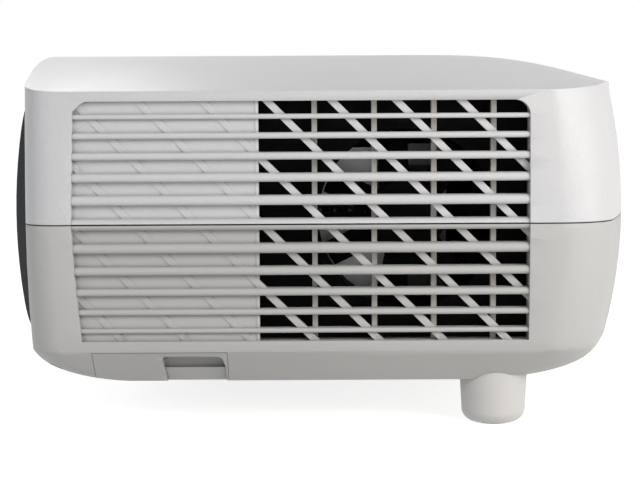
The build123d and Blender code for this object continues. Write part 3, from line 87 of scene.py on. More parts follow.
# ---- shader graphs ----
class Graph:
    """A thin wrapper round a node tree that adds nodes and links them in one call."""

    def __init__(self, tree: bpy.types.NodeTree) -> None:
        """Wrap a tree.

        Args:
            tree: the node tree that nodes are added to.
        """
        self.tree = tree

    def add(self, kind: str, inputs: dict[Any, Any] | None = None, **settings: Any) -> bpy.types.Node:
        """Add a node, set its options and fill or link its inputs.

        Args:
            kind: the node's type name without its prefix, such as "TexNoise".
            inputs: values or output sockets by the input's name or number.
            settings: the node's own options.

        Returns:
            The new node.
        """
        prefix = "" if kind.startswith(("Node", "Function", "Geometry")) else "ShaderNode"
        node = self.tree.nodes.new(prefix + kind)
        for name, value in settings.items():
            setattr(node, name, value)
        for name, value in (inputs or {}).items():
            if isinstance(value, bpy.types.NodeSocket):
                self.tree.links.new(value, node.inputs[name])
            else:
                node.inputs[name].default_value = value
        return node

    def math(self, operation: str, first: Any, second: Any = 0.0,
             clamp: bool = False) -> bpy.types.NodeSocket:
        """Combine two values or sockets with one Math node.

        Args:
            operation: the Math node's operation.
            first: the first value or socket.
            second: the second value or socket.
            clamp: whether the result is kept between 0 and 1.

        Returns:
            The result's socket.
        """
        node = self.add("Math", {0: first, 1: second}, operation=operation, use_clamp=clamp)
        return node.outputs[0]

    def blend(self, share: Any, first: Any, second: Any) -> bpy.types.NodeSocket:
        """Mix two colours by a share.

        Args:
            share: 0 gives the first colour and 1 the second.
            first: a colour or socket.
            second: a colour or socket.

        Returns:
            The mixed colour's socket.
        """
        node = self.add("Mix", {0: share, 6: first, 7: second}, data_type="RGBA")
        return node.outputs[2]

    def spread(self, value: Any, low: float, high: float, to_low: float = 0.0,
               to_high: float = 1.0) -> bpy.types.NodeSocket:
        """Map a value from one range to another, held at its ends.

        Args:
            value: the socket to map.
            low: the value that gives to_low.
            high: the value that gives to_high.
            to_low: the lower result.
            to_high: the upper result.

        Returns:
            The mapped value's socket.
        """
        node = self.add("MapRange", {0: value, 1: low, 2: high, 3: to_low, 4: to_high})
        return node.outputs[0]


def opaque(colour: Colour) -> tuple[float, float, float, float]:
    """A colour with full alpha, as node sockets want it."""
    return (*colour, 1.0)


class Effects:
    """Shader groups that several finishes share, each built once."""

    def __init__(self) -> None:
        """Build every group."""
        self.grain = self._grain()
        self.flakes = self._flakes()
        self.edge_wear = self._edge_wear()
        self.dust = self._dust()
        self.handling = self._handling()
        self.streaks = self._streaks()
        self.crevices = self._crevices()

    @staticmethod
    def _group(name: str, takes: dict[str, Any], gives: dict[str, str]) -> tuple[Graph, Any, Any]:
        """Start a group with named sockets.

        Args:
            name: the group's name.
            takes: input names with their default values, a number or a colour.
            gives: output names with their socket types.

        Returns:
            The graph, the group's input node and its output node.
        """
        tree = bpy.data.node_groups.new(name, "ShaderNodeTree")
        for label, value in takes.items():
            kind = "NodeSocketColor" if isinstance(value, tuple) else "NodeSocketFloat"
            socket = tree.interface.new_socket(name=label, in_out="INPUT", socket_type=kind)
            socket.default_value = value
        for label, kind in gives.items():
            tree.interface.new_socket(name=label, in_out="OUTPUT", socket_type=kind)
        graph = Graph(tree)
        return graph, graph.add("NodeGroupInput"), graph.add("NodeGroupOutput")

    def _grain(self) -> bpy.types.NodeTree:
        """Spark-eroded grain of a moulding, as a height."""
        graph, source, result = self._group("mould_grain", {"Scale": 900.0}, {"Height": "NodeSocketFloat"})
        place = graph.add("TexCoord").outputs["Object"]
        coarse = graph.add("TexNoise", {"Vector": place, "Scale": source.outputs["Scale"], "Detail": 3.0})
        cells = graph.add("TexVoronoi", {"Vector": place, "Scale": source.outputs["Scale"]},
                          feature="SMOOTH_F1")
        height = graph.math("MULTIPLY", coarse.outputs[0], cells.outputs[0])
        graph.tree.links.new(height, result.inputs["Height"])
        return graph.tree

    def _flakes(self) -> bpy.types.NodeTree:
        """Metal flakes in a pearl paint: how much each catches the light, and its tilt as a height."""
        graph, source, result = self._group(
            "pearl_flakes", {"Scale": 1800.0, "Share": 0.2},
            {"Mask": "NodeSocketFloat", "Height": "NodeSocketFloat"})
        place = graph.add("TexCoord").outputs["Object"]
        cells = graph.add("TexVoronoi", {"Vector": place, "Scale": source.outputs["Scale"]})
        tint = graph.add("SeparateColor", {0: cells.outputs["Color"]})
        edge = graph.math("SUBTRACT", 1.0, source.outputs["Share"])
        bright = graph.math("SUBTRACT", tint.outputs[0], edge)
        mask = graph.math("DIVIDE", bright, source.outputs["Share"], clamp=True)
        graph.tree.links.new(mask, result.inputs["Mask"])
        graph.tree.links.new(tint.outputs[1], result.inputs["Height"])
        return graph.tree

    def _edge_wear(self) -> bpy.types.NodeTree:
        """Where a surface turns a corner, broken up by noise."""
        graph, source, result = self._group(
            "edge_wear", {"Radius": 0.0012, "Amount": 0.5}, {"Mask": "NodeSocketFloat"})
        rounded = graph.add("Bevel", {"Radius": source.outputs["Radius"]}, samples=4)
        true = graph.add("NewGeometry")
        facing = graph.add("VectorMath", {0: rounded.outputs[0], 1: true.outputs["Normal"]},
                           operation="DOT_PRODUCT")
        turned = graph.spread(facing.outputs["Value"], 0.995, 0.80)
        place = graph.add("TexCoord").outputs["Object"]
        noise = graph.add("TexNoise", {"Vector": place, "Scale": 140.0, "Detail": 4.0})
        patchy = graph.spread(noise.outputs[0], 0.35, 0.65)
        worn = graph.math("MULTIPLY", turned, patchy)
        graph.tree.links.new(graph.math("MULTIPLY", worn, source.outputs["Amount"]), result.inputs["Mask"])
        return graph.tree

    def _dust(self) -> bpy.types.NodeTree:
        """Dust that settles on faces that look up, in drifts and specks."""
        graph, source, result = self._group("settled_dust", {"Amount": 0.3}, {"Mask": "NodeSocketFloat"})
        up = graph.add("SeparateXYZ", {0: graph.add("NewGeometry").outputs["Normal"]})
        place = graph.add("TexCoord").outputs["Object"]
        drifts = graph.add("TexNoise", {"Vector": place, "Scale": 45.0, "Detail": 5.0})
        specks = graph.add("TexNoise", {"Vector": place, "Scale": 700.0, "Detail": 2.0})
        facing = graph.spread(up.outputs["Z"], -0.2, 0.9)
        lying = graph.math("MULTIPLY", facing, graph.spread(drifts.outputs[0], 0.3, 0.7))
        speckled = graph.math("MULTIPLY", lying, graph.spread(specks.outputs[0], 0.3, 0.6, 0.5, 1.0))
        graph.tree.links.new(graph.math("MULTIPLY", speckled, source.outputs["Amount"]),
                             result.inputs["Mask"])
        return graph.tree

    def _crevices(self) -> bpy.types.NodeTree:
        """Painted shade where faces meet in a corner or a narrow gap, from ambient occlusion."""
        graph, source, result = self._group(
            "crevices", {"Reach": 0.004, "Amount": 0.5}, {"Mask": "NodeSocketFloat"})
        # painted shade: the less open space a point sees, the darker its colour gets
        open_sky = graph.add("AmbientOcclusion", {"Distance": source.outputs["Reach"]}, samples=6)
        hidden = graph.spread(open_sky.outputs["AO"], 0.80, 0.15)
        graph.tree.links.new(graph.math("MULTIPLY", hidden, source.outputs["Amount"]), result.inputs["Mask"])
        return graph.tree

    def _handling(self) -> bpy.types.NodeTree:
        """Roughness that drifts where hands and cloths have passed."""
        graph, source, result = self._group(
            "handling", {"Roughness": 0.4, "Change": 0.08}, {"Roughness": "NodeSocketFloat"})
        place = graph.add("TexCoord").outputs["Object"]
        noise = graph.add("TexNoise", {"Vector": place, "Scale": 18.0, "Detail": 6.0, "Distortion": 0.8})
        drift = graph.math("SUBTRACT", noise.outputs[0], 0.5)
        change = graph.math("MULTIPLY", drift, source.outputs["Change"])
        widened = graph.math("MULTIPLY", change, 4.0)
        total = graph.math("ADD", source.outputs["Roughness"], widened, clamp=True)
        graph.tree.links.new(total, result.inputs["Roughness"])
        return graph.tree

    def _streaks(self) -> bpy.types.NodeTree:
        """Fine streaks along X, as rolled or ground metal has."""
        graph, source, result = self._group("metal_streaks", {"Scale": 60.0}, {"Height": "NodeSocketFloat"})
        place = graph.add("TexCoord").outputs["Object"]
        drawn = graph.add("Mapping", {"Vector": place, "Scale": (1.0, 28.0, 28.0)})
        noise = graph.add("TexNoise", {"Vector": drawn.outputs[0], "Scale": source.outputs["Scale"],
                                       "Detail": 4.0})
        graph.tree.links.new(noise.outputs[0], result.inputs["Height"])
        return graph.tree


# ---- finishes ----
@dataclass(frozen=True)
class Finish:
    """What every finish has: a name, a colour, a gloss and how soft its edges look.

    Args:
        name: the material's name.
        colour: linear base colour.
        roughness: how matt it is.
        rounding: radius in metres that edges are shaded with.
    """

    name: str
    colour: Colour
    roughness: float = 0.5
    rounding: float = 0.0004

    def begin(self) -> tuple[bpy.types.Material, Graph, bpy.types.Node]:
        """A new material with an empty graph and its Principled shader on the output."""
        material = bpy.data.materials.new(self.name)
        material.use_nodes = True
        material.node_tree.nodes.clear()
        graph = Graph(material.node_tree)
        shader = graph.add("BsdfPrincipled", {"Base Color": opaque(self.colour), "Roughness": self.roughness})
        graph.add("OutputMaterial", {"Surface": shader.outputs[0]})
        return material, graph, shader

    def soft_edges(self, graph: Graph) -> bpy.types.NodeSocket:
        """The normal with its edges rounded."""
        return graph.add("Bevel", {"Radius": self.rounding}, samples=4).outputs[0]

    def relief(self, graph: Graph, shader: bpy.types.Node, height: bpy.types.NodeSocket, depth: float,
               strength: float = 1.0) -> None:
        """Give the shader a bump over its rounded normal.

        Args:
            graph: the material's graph.
            shader: the Principled node.
            height: the socket that the relief follows.
            depth: the relief's depth in metres.
            strength: how much of it shows.
        """
        bump = graph.add("Bump", {"Height": height, "Distance": depth, "Strength": strength,
                                  "Normal": self.soft_edges(graph)})
        graph.tree.links.new(bump.outputs[0], shader.inputs["Normal"])


def with_painted_shade(graph: Graph, effects: Effects, tone: bpy.types.NodeSocket, amount: float) -> bpy.types.NodeSocket:
    """A tone darkened in its crevices with painted shade.

    Args:
        graph: the material's graph.
        effects: the shared effects.
        tone: the clean tone.
        amount: how far crevices are darkened.

    Returns:
        The shaded tone's socket.
    """
    # painted shade: crevices take a dark colour where little light reaches
    hidden = effect(graph, effects.crevices, Amount=amount, Reach=PAINTED_SHADE_REACH)
    return graph.blend(hidden.outputs[0], tone, opaque(PAINTED_SHADE_COLOUR))


def effect(graph: Graph, tree: bpy.types.NodeTree, **values: float) -> bpy.types.Node:
    """Place a shared effect in a material.

    Args:
        graph: the material's graph.
        tree: the effect's group.
        values: the group's inputs by name, with spaces written as underscores.

    Returns:
        The group's node.
    """
    node = graph.add("Group")
    node.node_tree = tree
    for name, value in values.items():
        node.inputs[name.replace("_", " ")].default_value = value
    return node


@dataclass(frozen=True)
class Moulding(Finish):
    """A moulded plastic with grain, worn edges, dust and a little drift in its tone.

    Args:
        grain_scale: cells of the grain in a metre.
        grain_depth: depth of the grain in metres.
        worn: colour of the rubbed edges.
        wear: how far the edges are rubbed.
        dust: how much dust lies on it.
        dust_colour: colour of that dust.
        drift: how much the tone wanders.
        painted_shade: how far crevices are darkened with painted shade.
        coat: weight of the clear gloss over it.
        specular: level of its reflections.
    """

    grain_scale: float = 900.0
    grain_depth: float = 0.00006
    worn: Colour = (0.85, 0.84, 0.80)
    wear: float = 0.25
    dust: float = 0.0
    dust_colour: Colour = (0.52, 0.48, 0.40)
    drift: float = 0.05
    painted_shade: float = 0.0
    coat: float = 0.0
    specular: float = 0.5

    def build(self, effects: Effects) -> bpy.types.Material:
        """Make the material from the shared effects."""
        material, graph, shader = self.begin()
        place = graph.add("TexCoord").outputs["Object"]
        noise = graph.add("TexNoise", {"Vector": place, "Scale": 9.0, "Detail": 5.0})
        darker = tuple(channel * (1 - self.drift) for channel in self.colour)
        lighter = tuple(min(1.0, channel * (1 + self.drift)) for channel in self.colour)
        tone = graph.blend(graph.spread(noise.outputs[0], 0.3, 0.7), opaque(darker), opaque(lighter))
        edges = effect(graph, effects.edge_wear, Amount=self.wear, Radius=3 * self.rounding)
        tone = graph.blend(edges.outputs[0], tone, opaque(self.worn))
        if self.dust:
            settled = effect(graph, effects.dust, Amount=self.dust)
            tone = graph.blend(settled.outputs[0], tone, opaque(self.dust_colour))
        # painted shade darkens the crevices of the moulding
        if self.painted_shade:
            tone = with_painted_shade(graph, effects, tone, self.painted_shade)
        graph.tree.links.new(tone, shader.inputs["Base Color"])
        touched = effect(graph, effects.handling, Roughness=self.roughness, Change=0.05)
        graph.tree.links.new(touched.outputs[0], shader.inputs["Roughness"])
        shader.inputs["Specular IOR Level"].default_value = self.specular
        shader.inputs["Coat Weight"].default_value = self.coat
        shader.inputs["Coat Roughness"].default_value = 0.18
        grain = effect(graph, effects.grain, Scale=self.grain_scale)
        self.relief(graph, shader, grain.outputs[0], self.grain_depth)
        return material


@dataclass(frozen=True)
class PearlPaint(Finish):
    """The upper shell's paint: pale, satin, with flakes that sparkle where light grazes it.

    Args:
        flake: colour of the flakes.
        flake_scale: flakes in a metre.
        flake_share: share of the cells that hold a bright flake.
        flake_tint: how far a bright flake tints the paint.
        flake_metal: how metallic the paint is between flakes and on a bright one.
        flake_depth: depth in metres of the relief that the flakes' tilt makes.
        flake_strength: how much of that relief shows.
        cooler: what the cooler clouds keep of each channel.
        worn: colour of the rubbed edges.
        wear: how far the edges are rubbed.
        painted_shade: how far crevices are darkened with painted shade.
        specular: level of its reflections.
        coat: weight of the clear gloss over it.
        coat_roughness: how matt that gloss is.
    """

    flake: Colour = (0.95, 0.95, 0.93)
    flake_scale: float = 2400.0
    flake_share: float = 0.30
    flake_tint: float = 0.14
    flake_metal: tuple[float, float] = (0.02, 0.12)
    flake_depth: float = 0.00001
    flake_strength: float = 0.35
    cooler: Colour = (0.97, 0.98, 1.0)
    worn: Colour = (0.86, 0.84, 0.78)
    wear: float = 0.30
    painted_shade: float = 0.70
    specular: float = 0.3
    coat: float = 0.05
    coat_roughness: float = 0.30

    def build(self, effects: Effects) -> bpy.types.Material:
        """Make the material from the shared effects."""
        material, graph, shader = self.begin()
        flakes = effect(graph, effects.flakes, Scale=self.flake_scale, Share=self.flake_share)
        place = graph.add("TexCoord").outputs["Object"]
        clouds = graph.add("TexNoise", {"Vector": place, "Scale": 14.0, "Detail": 4.0})
        cool = tuple(channel * kept for channel, kept in zip(self.colour, self.cooler))
        tone = graph.blend(graph.spread(clouds.outputs[0], 0.3, 0.7), opaque(cool), opaque(self.colour))
        caught = graph.math("MULTIPLY", flakes.outputs["Mask"], self.flake_tint)
        tone = graph.blend(caught, tone, opaque(self.flake))
        edges = effect(graph, effects.edge_wear, Amount=self.wear, Radius=3 * self.rounding)
        tone = graph.blend(edges.outputs[0], tone, opaque(self.worn))
        # painted shade darkens the crevices of the paint
        tone = with_painted_shade(graph, effects, tone, self.painted_shade)
        graph.tree.links.new(tone, shader.inputs["Base Color"])
        graph.tree.links.new(graph.spread(flakes.outputs["Mask"], 0.0, 1.0, *self.flake_metal),
                             shader.inputs["Metallic"])
        touched = effect(graph, effects.handling, Roughness=self.roughness, Change=0.05)
        graph.tree.links.new(touched.outputs[0], shader.inputs["Roughness"])
        shader.inputs["Specular IOR Level"].default_value = self.specular
        shader.inputs["Coat Weight"].default_value = self.coat
        shader.inputs["Coat Roughness"].default_value = self.coat_roughness
        self.relief(graph, shader, flakes.outputs["Height"], self.flake_depth, self.flake_strength)
        return material


@dataclass(frozen=True)
class Metal(Finish):
    """A bare metal with streaks or casting skin, and patches of tarnish.

    Args:
        tarnish: colour of the duller patches.
        streaked: rolled or ground metal rather than cast.
        relief_depth: depth of the streaks or the casting skin in metres.
    """

    tarnish: Colour = (0.35, 0.34, 0.33)
    streaked: bool = True
    relief_depth: float = 0.00004

    def build(self, effects: Effects) -> bpy.types.Material:
        """Make the material from the shared effects."""
        material, graph, shader = self.begin()
        place = graph.add("TexCoord").outputs["Object"]
        patches = graph.add("TexNoise", {"Vector": place, "Scale": 60.0, "Detail": 6.0})
        dull = graph.spread(patches.outputs[0], 0.45, 0.75, 0.0, 0.5)
        tone = graph.blend(dull, opaque(self.colour), opaque(self.tarnish))
        graph.tree.links.new(tone, shader.inputs["Base Color"])
        shader.inputs["Metallic"].default_value = 1.0
        touched = effect(graph, effects.handling, Roughness=self.roughness, Change=0.06)
        graph.tree.links.new(touched.outputs[0], shader.inputs["Roughness"])
        if self.streaked:
            skin = effect(graph, effects.streaks, Scale=60.0)
        else:
            skin = effect(graph, effects.grain, Scale=700.0)
        self.relief(graph, shader, skin.outputs[0], self.relief_depth)
        return material


@dataclass(frozen=True)
class Glass(Finish):
    """Clear, coated or smoked glass.

    Args:
        transmission: share of the light that passes.
        ior: index of refraction.
        smear: how much the gloss varies.
        film: thickness of the coloured coating in nanometres, 0 for none.
        film_ior: that coating's index of refraction.
        deeper: what the deeper clouds of its tint keep of the colour.
    """

    transmission: float = 1.0
    ior: float = 1.5
    smear: float = 0.02
    film: float = 0.0
    film_ior: float = 1.38
    deeper: float = 0.85

    def build(self, effects: Effects) -> bpy.types.Material:
        """Make the material from the shared effects."""
        material, graph, shader = self.begin()
        shader.inputs["Transmission Weight"].default_value = self.transmission
        shader.inputs["IOR"].default_value = self.ior
        if self.film:
            shader.inputs["Thin Film Thickness"].default_value = self.film
            shader.inputs["Thin Film IOR"].default_value = self.film_ior
        touched = effect(graph, effects.handling, Roughness=self.roughness, Change=self.smear)
        graph.tree.links.new(touched.outputs[0], shader.inputs["Roughness"])
        place = graph.add("TexCoord").outputs["Object"]
        clouds = graph.add("TexNoise", {"Vector": place, "Scale": 30.0, "Detail": 3.0})
        deep = tuple(channel * self.deeper for channel in self.colour)
        tone = graph.blend(clouds.outputs[0], opaque(self.colour), opaque(deep))
        graph.tree.links.new(tone, shader.inputs["Base Color"])
        graph.tree.links.new(self.soft_edges(graph), shader.inputs["Normal"])
        return material


@dataclass(frozen=True)
class CircuitBoard(Finish):
    """Solder mask over copper tracks, with scattered tinned pads.

    Args:
        track: colour of the mask where a track lies under it.
        pad: colour of bare tinned pads.
        pitch: how fine the pattern is; a metre holds 0.35 of it in tracks and 0.5 in pads.
    """

    track: Colour = (0.03, 0.19, 0.08)
    pad: Colour = (0.70, 0.68, 0.62)
    pitch: float = 420.0

    def build(self, effects: Effects) -> bpy.types.Material:
        """Make the material from the shared effects."""
        material, graph, shader = self.begin()
        place = graph.add("TexCoord").outputs["Object"]
        lanes = graph.add("TexVoronoi", {"Vector": place, "Scale": self.pitch * 0.35},
                          distance="MANHATTAN", feature="F1")
        lane_edge = graph.spread(lanes.outputs[0], 0.50, 0.56)
        tone = graph.blend(lane_edge, opaque(self.colour), opaque(self.track))
        dots = graph.add("TexVoronoi", {"Vector": place, "Scale": self.pitch * 0.5, "Randomness": 0.6})
        near = graph.spread(dots.outputs[0], 0.16, 0.12)
        tone = graph.blend(near, tone, opaque(self.pad))
        graph.tree.links.new(tone, shader.inputs["Base Color"])
        touched = effect(graph, effects.handling, Roughness=self.roughness, Change=0.04)
        graph.tree.links.new(touched.outputs[0], shader.inputs["Roughness"])
        self.relief(graph, shader, lane_edge, 0.00003)
        return material


class Finishes(enum.Enum):
    """Every finish on the projector."""

    PEARL = PearlPaint("pearl_paint", (0.62, 0.62, 0.63), 0.40, 0.00025)
    # the pale moulding's crevices are darkened with painted shade
    PALE = Moulding("pale_moulding", (0.480, 0.478, 0.473), 0.55, 0.00025, grain_depth=0.00003,
                    worn=(0.66, 0.65, 0.62), wear=0.25, drift=0.03, painted_shade=0.75)
    LEG = Moulding("leg_moulding", (0.60, 0.592, 0.58), 0.42, 0.0006, grain_depth=0.00001, wear=0.1,
                   drift=0.02)
    DARK_GLOSS = Moulding("dark_gloss", (0.016, 0.020, 0.024), 0.20, 0.0006, grain_depth=0.0,
                          worn=(0.10, 0.10, 0.11), wear=0.2, coat=0.1, specular=0.3)
    DARK_SATIN = Moulding("dark_satin", (0.012, 0.012, 0.013), 0.35, 0.0003, grain_depth=0.0, wear=0.0)
    DARK = Moulding("dark_moulding", (0.008, 0.008, 0.009), 0.60, 0.0004, worn=(0.02, 0.02, 0.02), dust=0.02,
                    specular=0.04)
    FRAME = Moulding("dusty_frame", (0.47, 0.455, 0.42), 0.65, 0.0004, worn=(0.58, 0.55, 0.48), dust=0.45)
    KEY = Moulding("key_cap", (0.28, 0.29, 0.31), 0.35, 0.0003, grain_depth=0.00001, worn=(0.5, 0.5, 0.5))
    TRAY = Moulding("tray_moulding", (0.035, 0.035, 0.038), 0.42, 0.0003, worn=(0.15, 0.15, 0.15))
    GEAR = Moulding("gear_moulding", (0.75, 0.73, 0.66), 0.40, 0.0002, grain_depth=0.00001)
    RUBBER = Moulding("sole_rubber", (0.025, 0.025, 0.025), 0.85, 0.0003, worn=(0.08, 0.08, 0.08), dust=0.3)
    PAPER = Moulding("speaker_paper", (0.03, 0.03, 0.03), 0.9, 0.0003, grain_scale=1500.0, dust=0.2)
    MARK = Moulding("printed_mark", (0.72, 0.73, 0.74), 0.45, 0.0001, grain_depth=0.0, wear=0.1)
    FIGURE = Moulding("unlit_figure", (0.06, 0.075, 0.08), 0.4, 0.0001, grain_depth=0.0, wear=0.0)
    YELLOW = Moulding("yellow_collar", (0.70, 0.48, 0.05), 0.4, 0.0001, grain_depth=0.0, wear=0.1)
    RED = Moulding("red_collar", (0.50, 0.03, 0.03), 0.4, 0.0001, grain_depth=0.0, wear=0.1)
    CHIP = Moulding("chip_case", (0.035, 0.035, 0.036), 0.5, 0.0001, worn=(0.2, 0.2, 0.19), wear=0.3,
                    drift=0.3)
    SHEET = Metal("plated_sheet", (0.62, 0.62, 0.63), 0.34)
    CAST = Metal("cast_metal", (0.50, 0.50, 0.51), 0.48, streaked=False, relief_depth=0.00008)
    STEEL = Metal("turned_steel", (0.66, 0.66, 0.67), 0.25, 0.0002)
    BRASS = Metal("turned_brass", (0.80, 0.60, 0.28), 0.28, 0.0002, tarnish=(0.42, 0.28, 0.10))
    LENS = Glass("lens_glass", (0.96, 0.97, 1.0), 0.02, 0.0002, ior=1.6, film=420.0)
    FILTER = Glass("filter_glass", (0.75, 0.45, 0.55), 0.05, 0.0002, transmission=0.6, film=520.0)
    WINDOW = Glass("smoked_window", (0.05, 0.04, 0.05), 0.05, 0.0003, transmission=0.3)
    BOARD = CircuitBoard("circuit_board", (0.015, 0.12, 0.05), 0.35, 0.0002)


class Palette:
    """Builds each finish once and hands it out."""

    def __init__(self) -> None:
        """Build the shared effects."""
        self.effects = Effects()
        self._made: dict[Finishes, bpy.types.Material] = {}

    def material(self, finish: Finishes) -> bpy.types.Material:
        """The material of a finish, made on first use."""
        if finish not in self._made:
            self._made[finish] = finish.value.build(self.effects)
        return self._made[finish]


# ---- nodes and pieces ----
NODE_FINISHES: dict[str, Finishes] = {
    "pearl_shell": Finishes.PEARL,
    "pale_shell": Finishes.PALE,
    "leg_plastic": Finishes.LEG,
    "dark_gloss": Finishes.DARK_GLOSS,
    "dark_plastic": Finishes.DARK,
    "frame_plastic": Finishes.FRAME,
    "key_plastic": Finishes.KEY,
    "tray_plastic": Finishes.TRAY,
    "white_gear": Finishes.GEAR,
    "sheet_steel": Finishes.SHEET,
    "cast_metal": Finishes.CAST,
    "turned_steel": Finishes.STEEL,
    "brass": Finishes.BRASS,
    "board": Finishes.BOARD,
    "rubber": Finishes.RUBBER,
    "lens_glass": Finishes.LENS,
    "filter_glass": Finishes.FILTER,
    "smoked_window": Finishes.WINDOW,
    "speaker_paper": Finishes.PAPER,
}


@dataclass
class Workshop:
    """What every sub-assembly needs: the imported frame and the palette.

    Args:
        palette: the finishes.
    """

    frame: dict[str, Any]
    palette: Palette

    def node(self, name: str) -> bpy.types.Object:
        """A CAD node's object."""
        return self.frame["nodes"][name]

    def body_of(self, name: str) -> str:
        """The body that a CAD node rides on."""
        return self.node(name)["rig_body"]

    def slot_of(self, name: str) -> str:
        """The record's material slot of a CAD node."""
        rows = self.frame["record"]["subparts"]
        return next(row["material_slot"] for row in rows if row["node"] == name)

    def dress_nodes(self) -> None:
        """Give every CAD node the finish of its slot."""
        for name, thing in self.frame["nodes"].items():
            finish = self.palette.material(NODE_FINISHES[self.slot_of(name)])
            thing.data.materials.clear()
            thing.data.materials.append(finish)
        log.info("dressed %d nodes", len(self.frame["nodes"]))

    def finish_piece(self, piece: bpy.types.Object, finish: Finishes, body: str) -> bpy.types.Object:
        """Give a piece its finish, fasten it to its body and report it.

        Args:
            piece: the object, with its place in its mesh.
            finish: which finish it gets.
            body: the CAD body that it rides on.

        Returns:
            The same object.
        """
        piece.data.materials.clear()
        piece.data.materials.append(self.palette.material(finish))
        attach(piece, body)
        log.info("%s: %d faces on %s", piece.name, len(piece.data.polygons), body)
        return piece

    def smooth_twin(self, name: str, smooth_angle: float = 20.0) -> bpy.types.Object:
        """A merged, smoothly shaded copy of a CAD node that stands for it.

        Args:
            name: the CAD node.
            smooth_angle: edges that turn by less, in degrees, are shaded smooth.

        Returns:
            The copy, riding on the node's body and replacing it.
        """
        source = self.node(name)
        mesh = source.data.copy()
        mesh.name = name + "_skin"
        work = bmesh.new()
        work.from_mesh(mesh)
        bmesh.ops.remove_doubles(work, verts=work.verts, dist=0.00001)
        bmesh.ops.dissolve_degenerate(work, edges=work.edges, dist=0.000005)
        work.to_mesh(mesh)
        work.free()
        mesh.polygons.foreach_set("use_smooth", [True] * len(mesh.polygons))
        mesh.set_sharp_from_angle(angle=math.radians(smooth_angle))
        twin = bpy.data.objects.new(name + "_skin", mesh)
        bpy.context.scene.collection.objects.link(twin)
        weighed = twin.modifiers.new("weighted_normals", "WEIGHTED_NORMAL")
        weighed.keep_sharp = True
        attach(twin, self.body_of(name))
        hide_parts(name)
        log.info("%s: %d faces stand for %s", twin.name, len(mesh.polygons), name)
        return twin


# ---- geometry recipes ----
class Recipe:
    """A geometry-node tree with named inputs that ends in Realize Instances and Set Material."""

    KINDS = {int: "NodeSocketInt", float: "NodeSocketFloat", tuple: "NodeSocketVector"}

    def __init__(self, name: str, **inputs: Any) -> None:
        """Start a tree.

        Args:
            name: the tree's name.
            inputs: the inputs' defaults by name, with spaces written as underscores.
        """
        self.tree = bpy.data.node_groups.new(name, "GeometryNodeTree")
        self.keys: dict[str, str] = {}
        for label, value in inputs.items():
            socket = self.tree.interface.new_socket(
                name=label.replace("_", " "), in_out="INPUT", socket_type=self.KINDS[type(value)])
            socket.default_value = value
            self.keys[label] = socket.identifier
        finish = self.tree.interface.new_socket(name="Finish", in_out="INPUT",
                                                socket_type="NodeSocketMaterial")
        self.keys["Finish"] = finish.identifier
        self.tree.interface.new_socket(name="Geometry", in_out="OUTPUT", socket_type="NodeSocketGeometry")
        self.graph = Graph(self.tree)
        self.source = self.graph.add("NodeGroupInput")

    def take(self, label: str) -> bpy.types.NodeSocket:
        """The socket of a named input."""
        return self.source.outputs[label.replace("_", " ")]

    def close(self, geometry: bpy.types.NodeSocket) -> "Recipe":
        """Realize the instances, set the material and end the tree.

        Args:
            geometry: what the tree has made.

        Returns:
            The recipe itself.
        """
        real = self.graph.add("GeometryNodeRealizeInstances", {0: geometry})
        painted = self.graph.add("GeometryNodeSetMaterial", {"Geometry": real.outputs[0],
                                                             "Material": self.take("Finish")})
        self.graph.add("NodeGroupOutput", {0: painted.outputs[0]})
        return self

    def make(self, name: str, finish: bpy.types.Material, **values: Any) -> bpy.types.Object:
        """Run the tree once and keep its result as a plain mesh.

        Args:
            name: the new object's name.
            finish: the material that the tree sets.
            values: the inputs by name, with spaces written as underscores.

        Returns:
            An object at the origin with no modifier.
        """
        seed = bpy.data.objects.new("recipe_seed", bpy.data.meshes.new("recipe_seed"))
        bpy.context.scene.collection.objects.link(seed)
        modifier = seed.modifiers.new("recipe", "NODES")
        modifier.node_group = self.tree
        for label, value in {**values, "Finish": finish}.items():
            modifier[self.keys[label]] = value
        graph = bpy.context.evaluated_depsgraph_get()
        mesh = bpy.data.meshes.new_from_object(seed.evaluated_get(graph), depsgraph=graph)
        seed.modifiers.remove(modifier)
        bpy.data.objects.remove(seed)
        mesh.name = name
        mesh.materials.clear()
        mesh.materials.append(finish)
        mesh.polygons.foreach_set("material_index", [0] * len(mesh.polygons))
        piece = bpy.data.objects.new(name, mesh)
        bpy.context.scene.collection.objects.link(piece)
        return piece


def ring_row_recipe() -> Recipe:
    """Beads bent into rings about an axis along X, each a step wider than the last."""
    recipe = Recipe("ring_row", Count=5, First_X=0.0, Pitch=0.002, First_Radius=0.02, Widening=0.0,
                    Bead=0.0005, Middle=(0.0, 0.0, 0.0))
    graph = recipe.graph
    first = graph.add("CombineXYZ", {0: recipe.take("First_X")})
    start = graph.add("VectorMath", {0: first.outputs[0], 1: recipe.take("Middle")}, operation="ADD")
    step = graph.add("CombineXYZ", {0: recipe.take("Pitch")})
    line = graph.add("GeometryNodeMeshLine",
                     {"Count": recipe.take("Count"), "Start Location": start.outputs[0],
                      "Offset": step.outputs[0]})
    number = graph.add("GeometryNodeInputIndex").outputs[0]
    radius = graph.math("ADD", graph.math("MULTIPLY", number, recipe.take("Widening")),
                        recipe.take("First_Radius"))
    circle = graph.add("GeometryNodeCurvePrimitiveCircle", {"Resolution": 96, "Radius": 1.0})
    rings = graph.add("GeometryNodeInstanceOnPoints",
                      {"Points": line.outputs[0], "Instance": circle.outputs[0],
                       "Rotation": (0.0, math.pi / 2, 0.0), "Scale": radius})
    real = graph.add("GeometryNodeRealizeInstances", {0: rings.outputs[0]})
    bead = graph.add("GeometryNodeCurvePrimitiveCircle", {"Resolution": 8, "Radius": recipe.take("Bead")})
    swept = graph.add("GeometryNodeCurveToMesh", {"Curve": real.outputs[0], "Profile Curve": bead.outputs[0]})
    return recipe.close(swept.outputs[0])


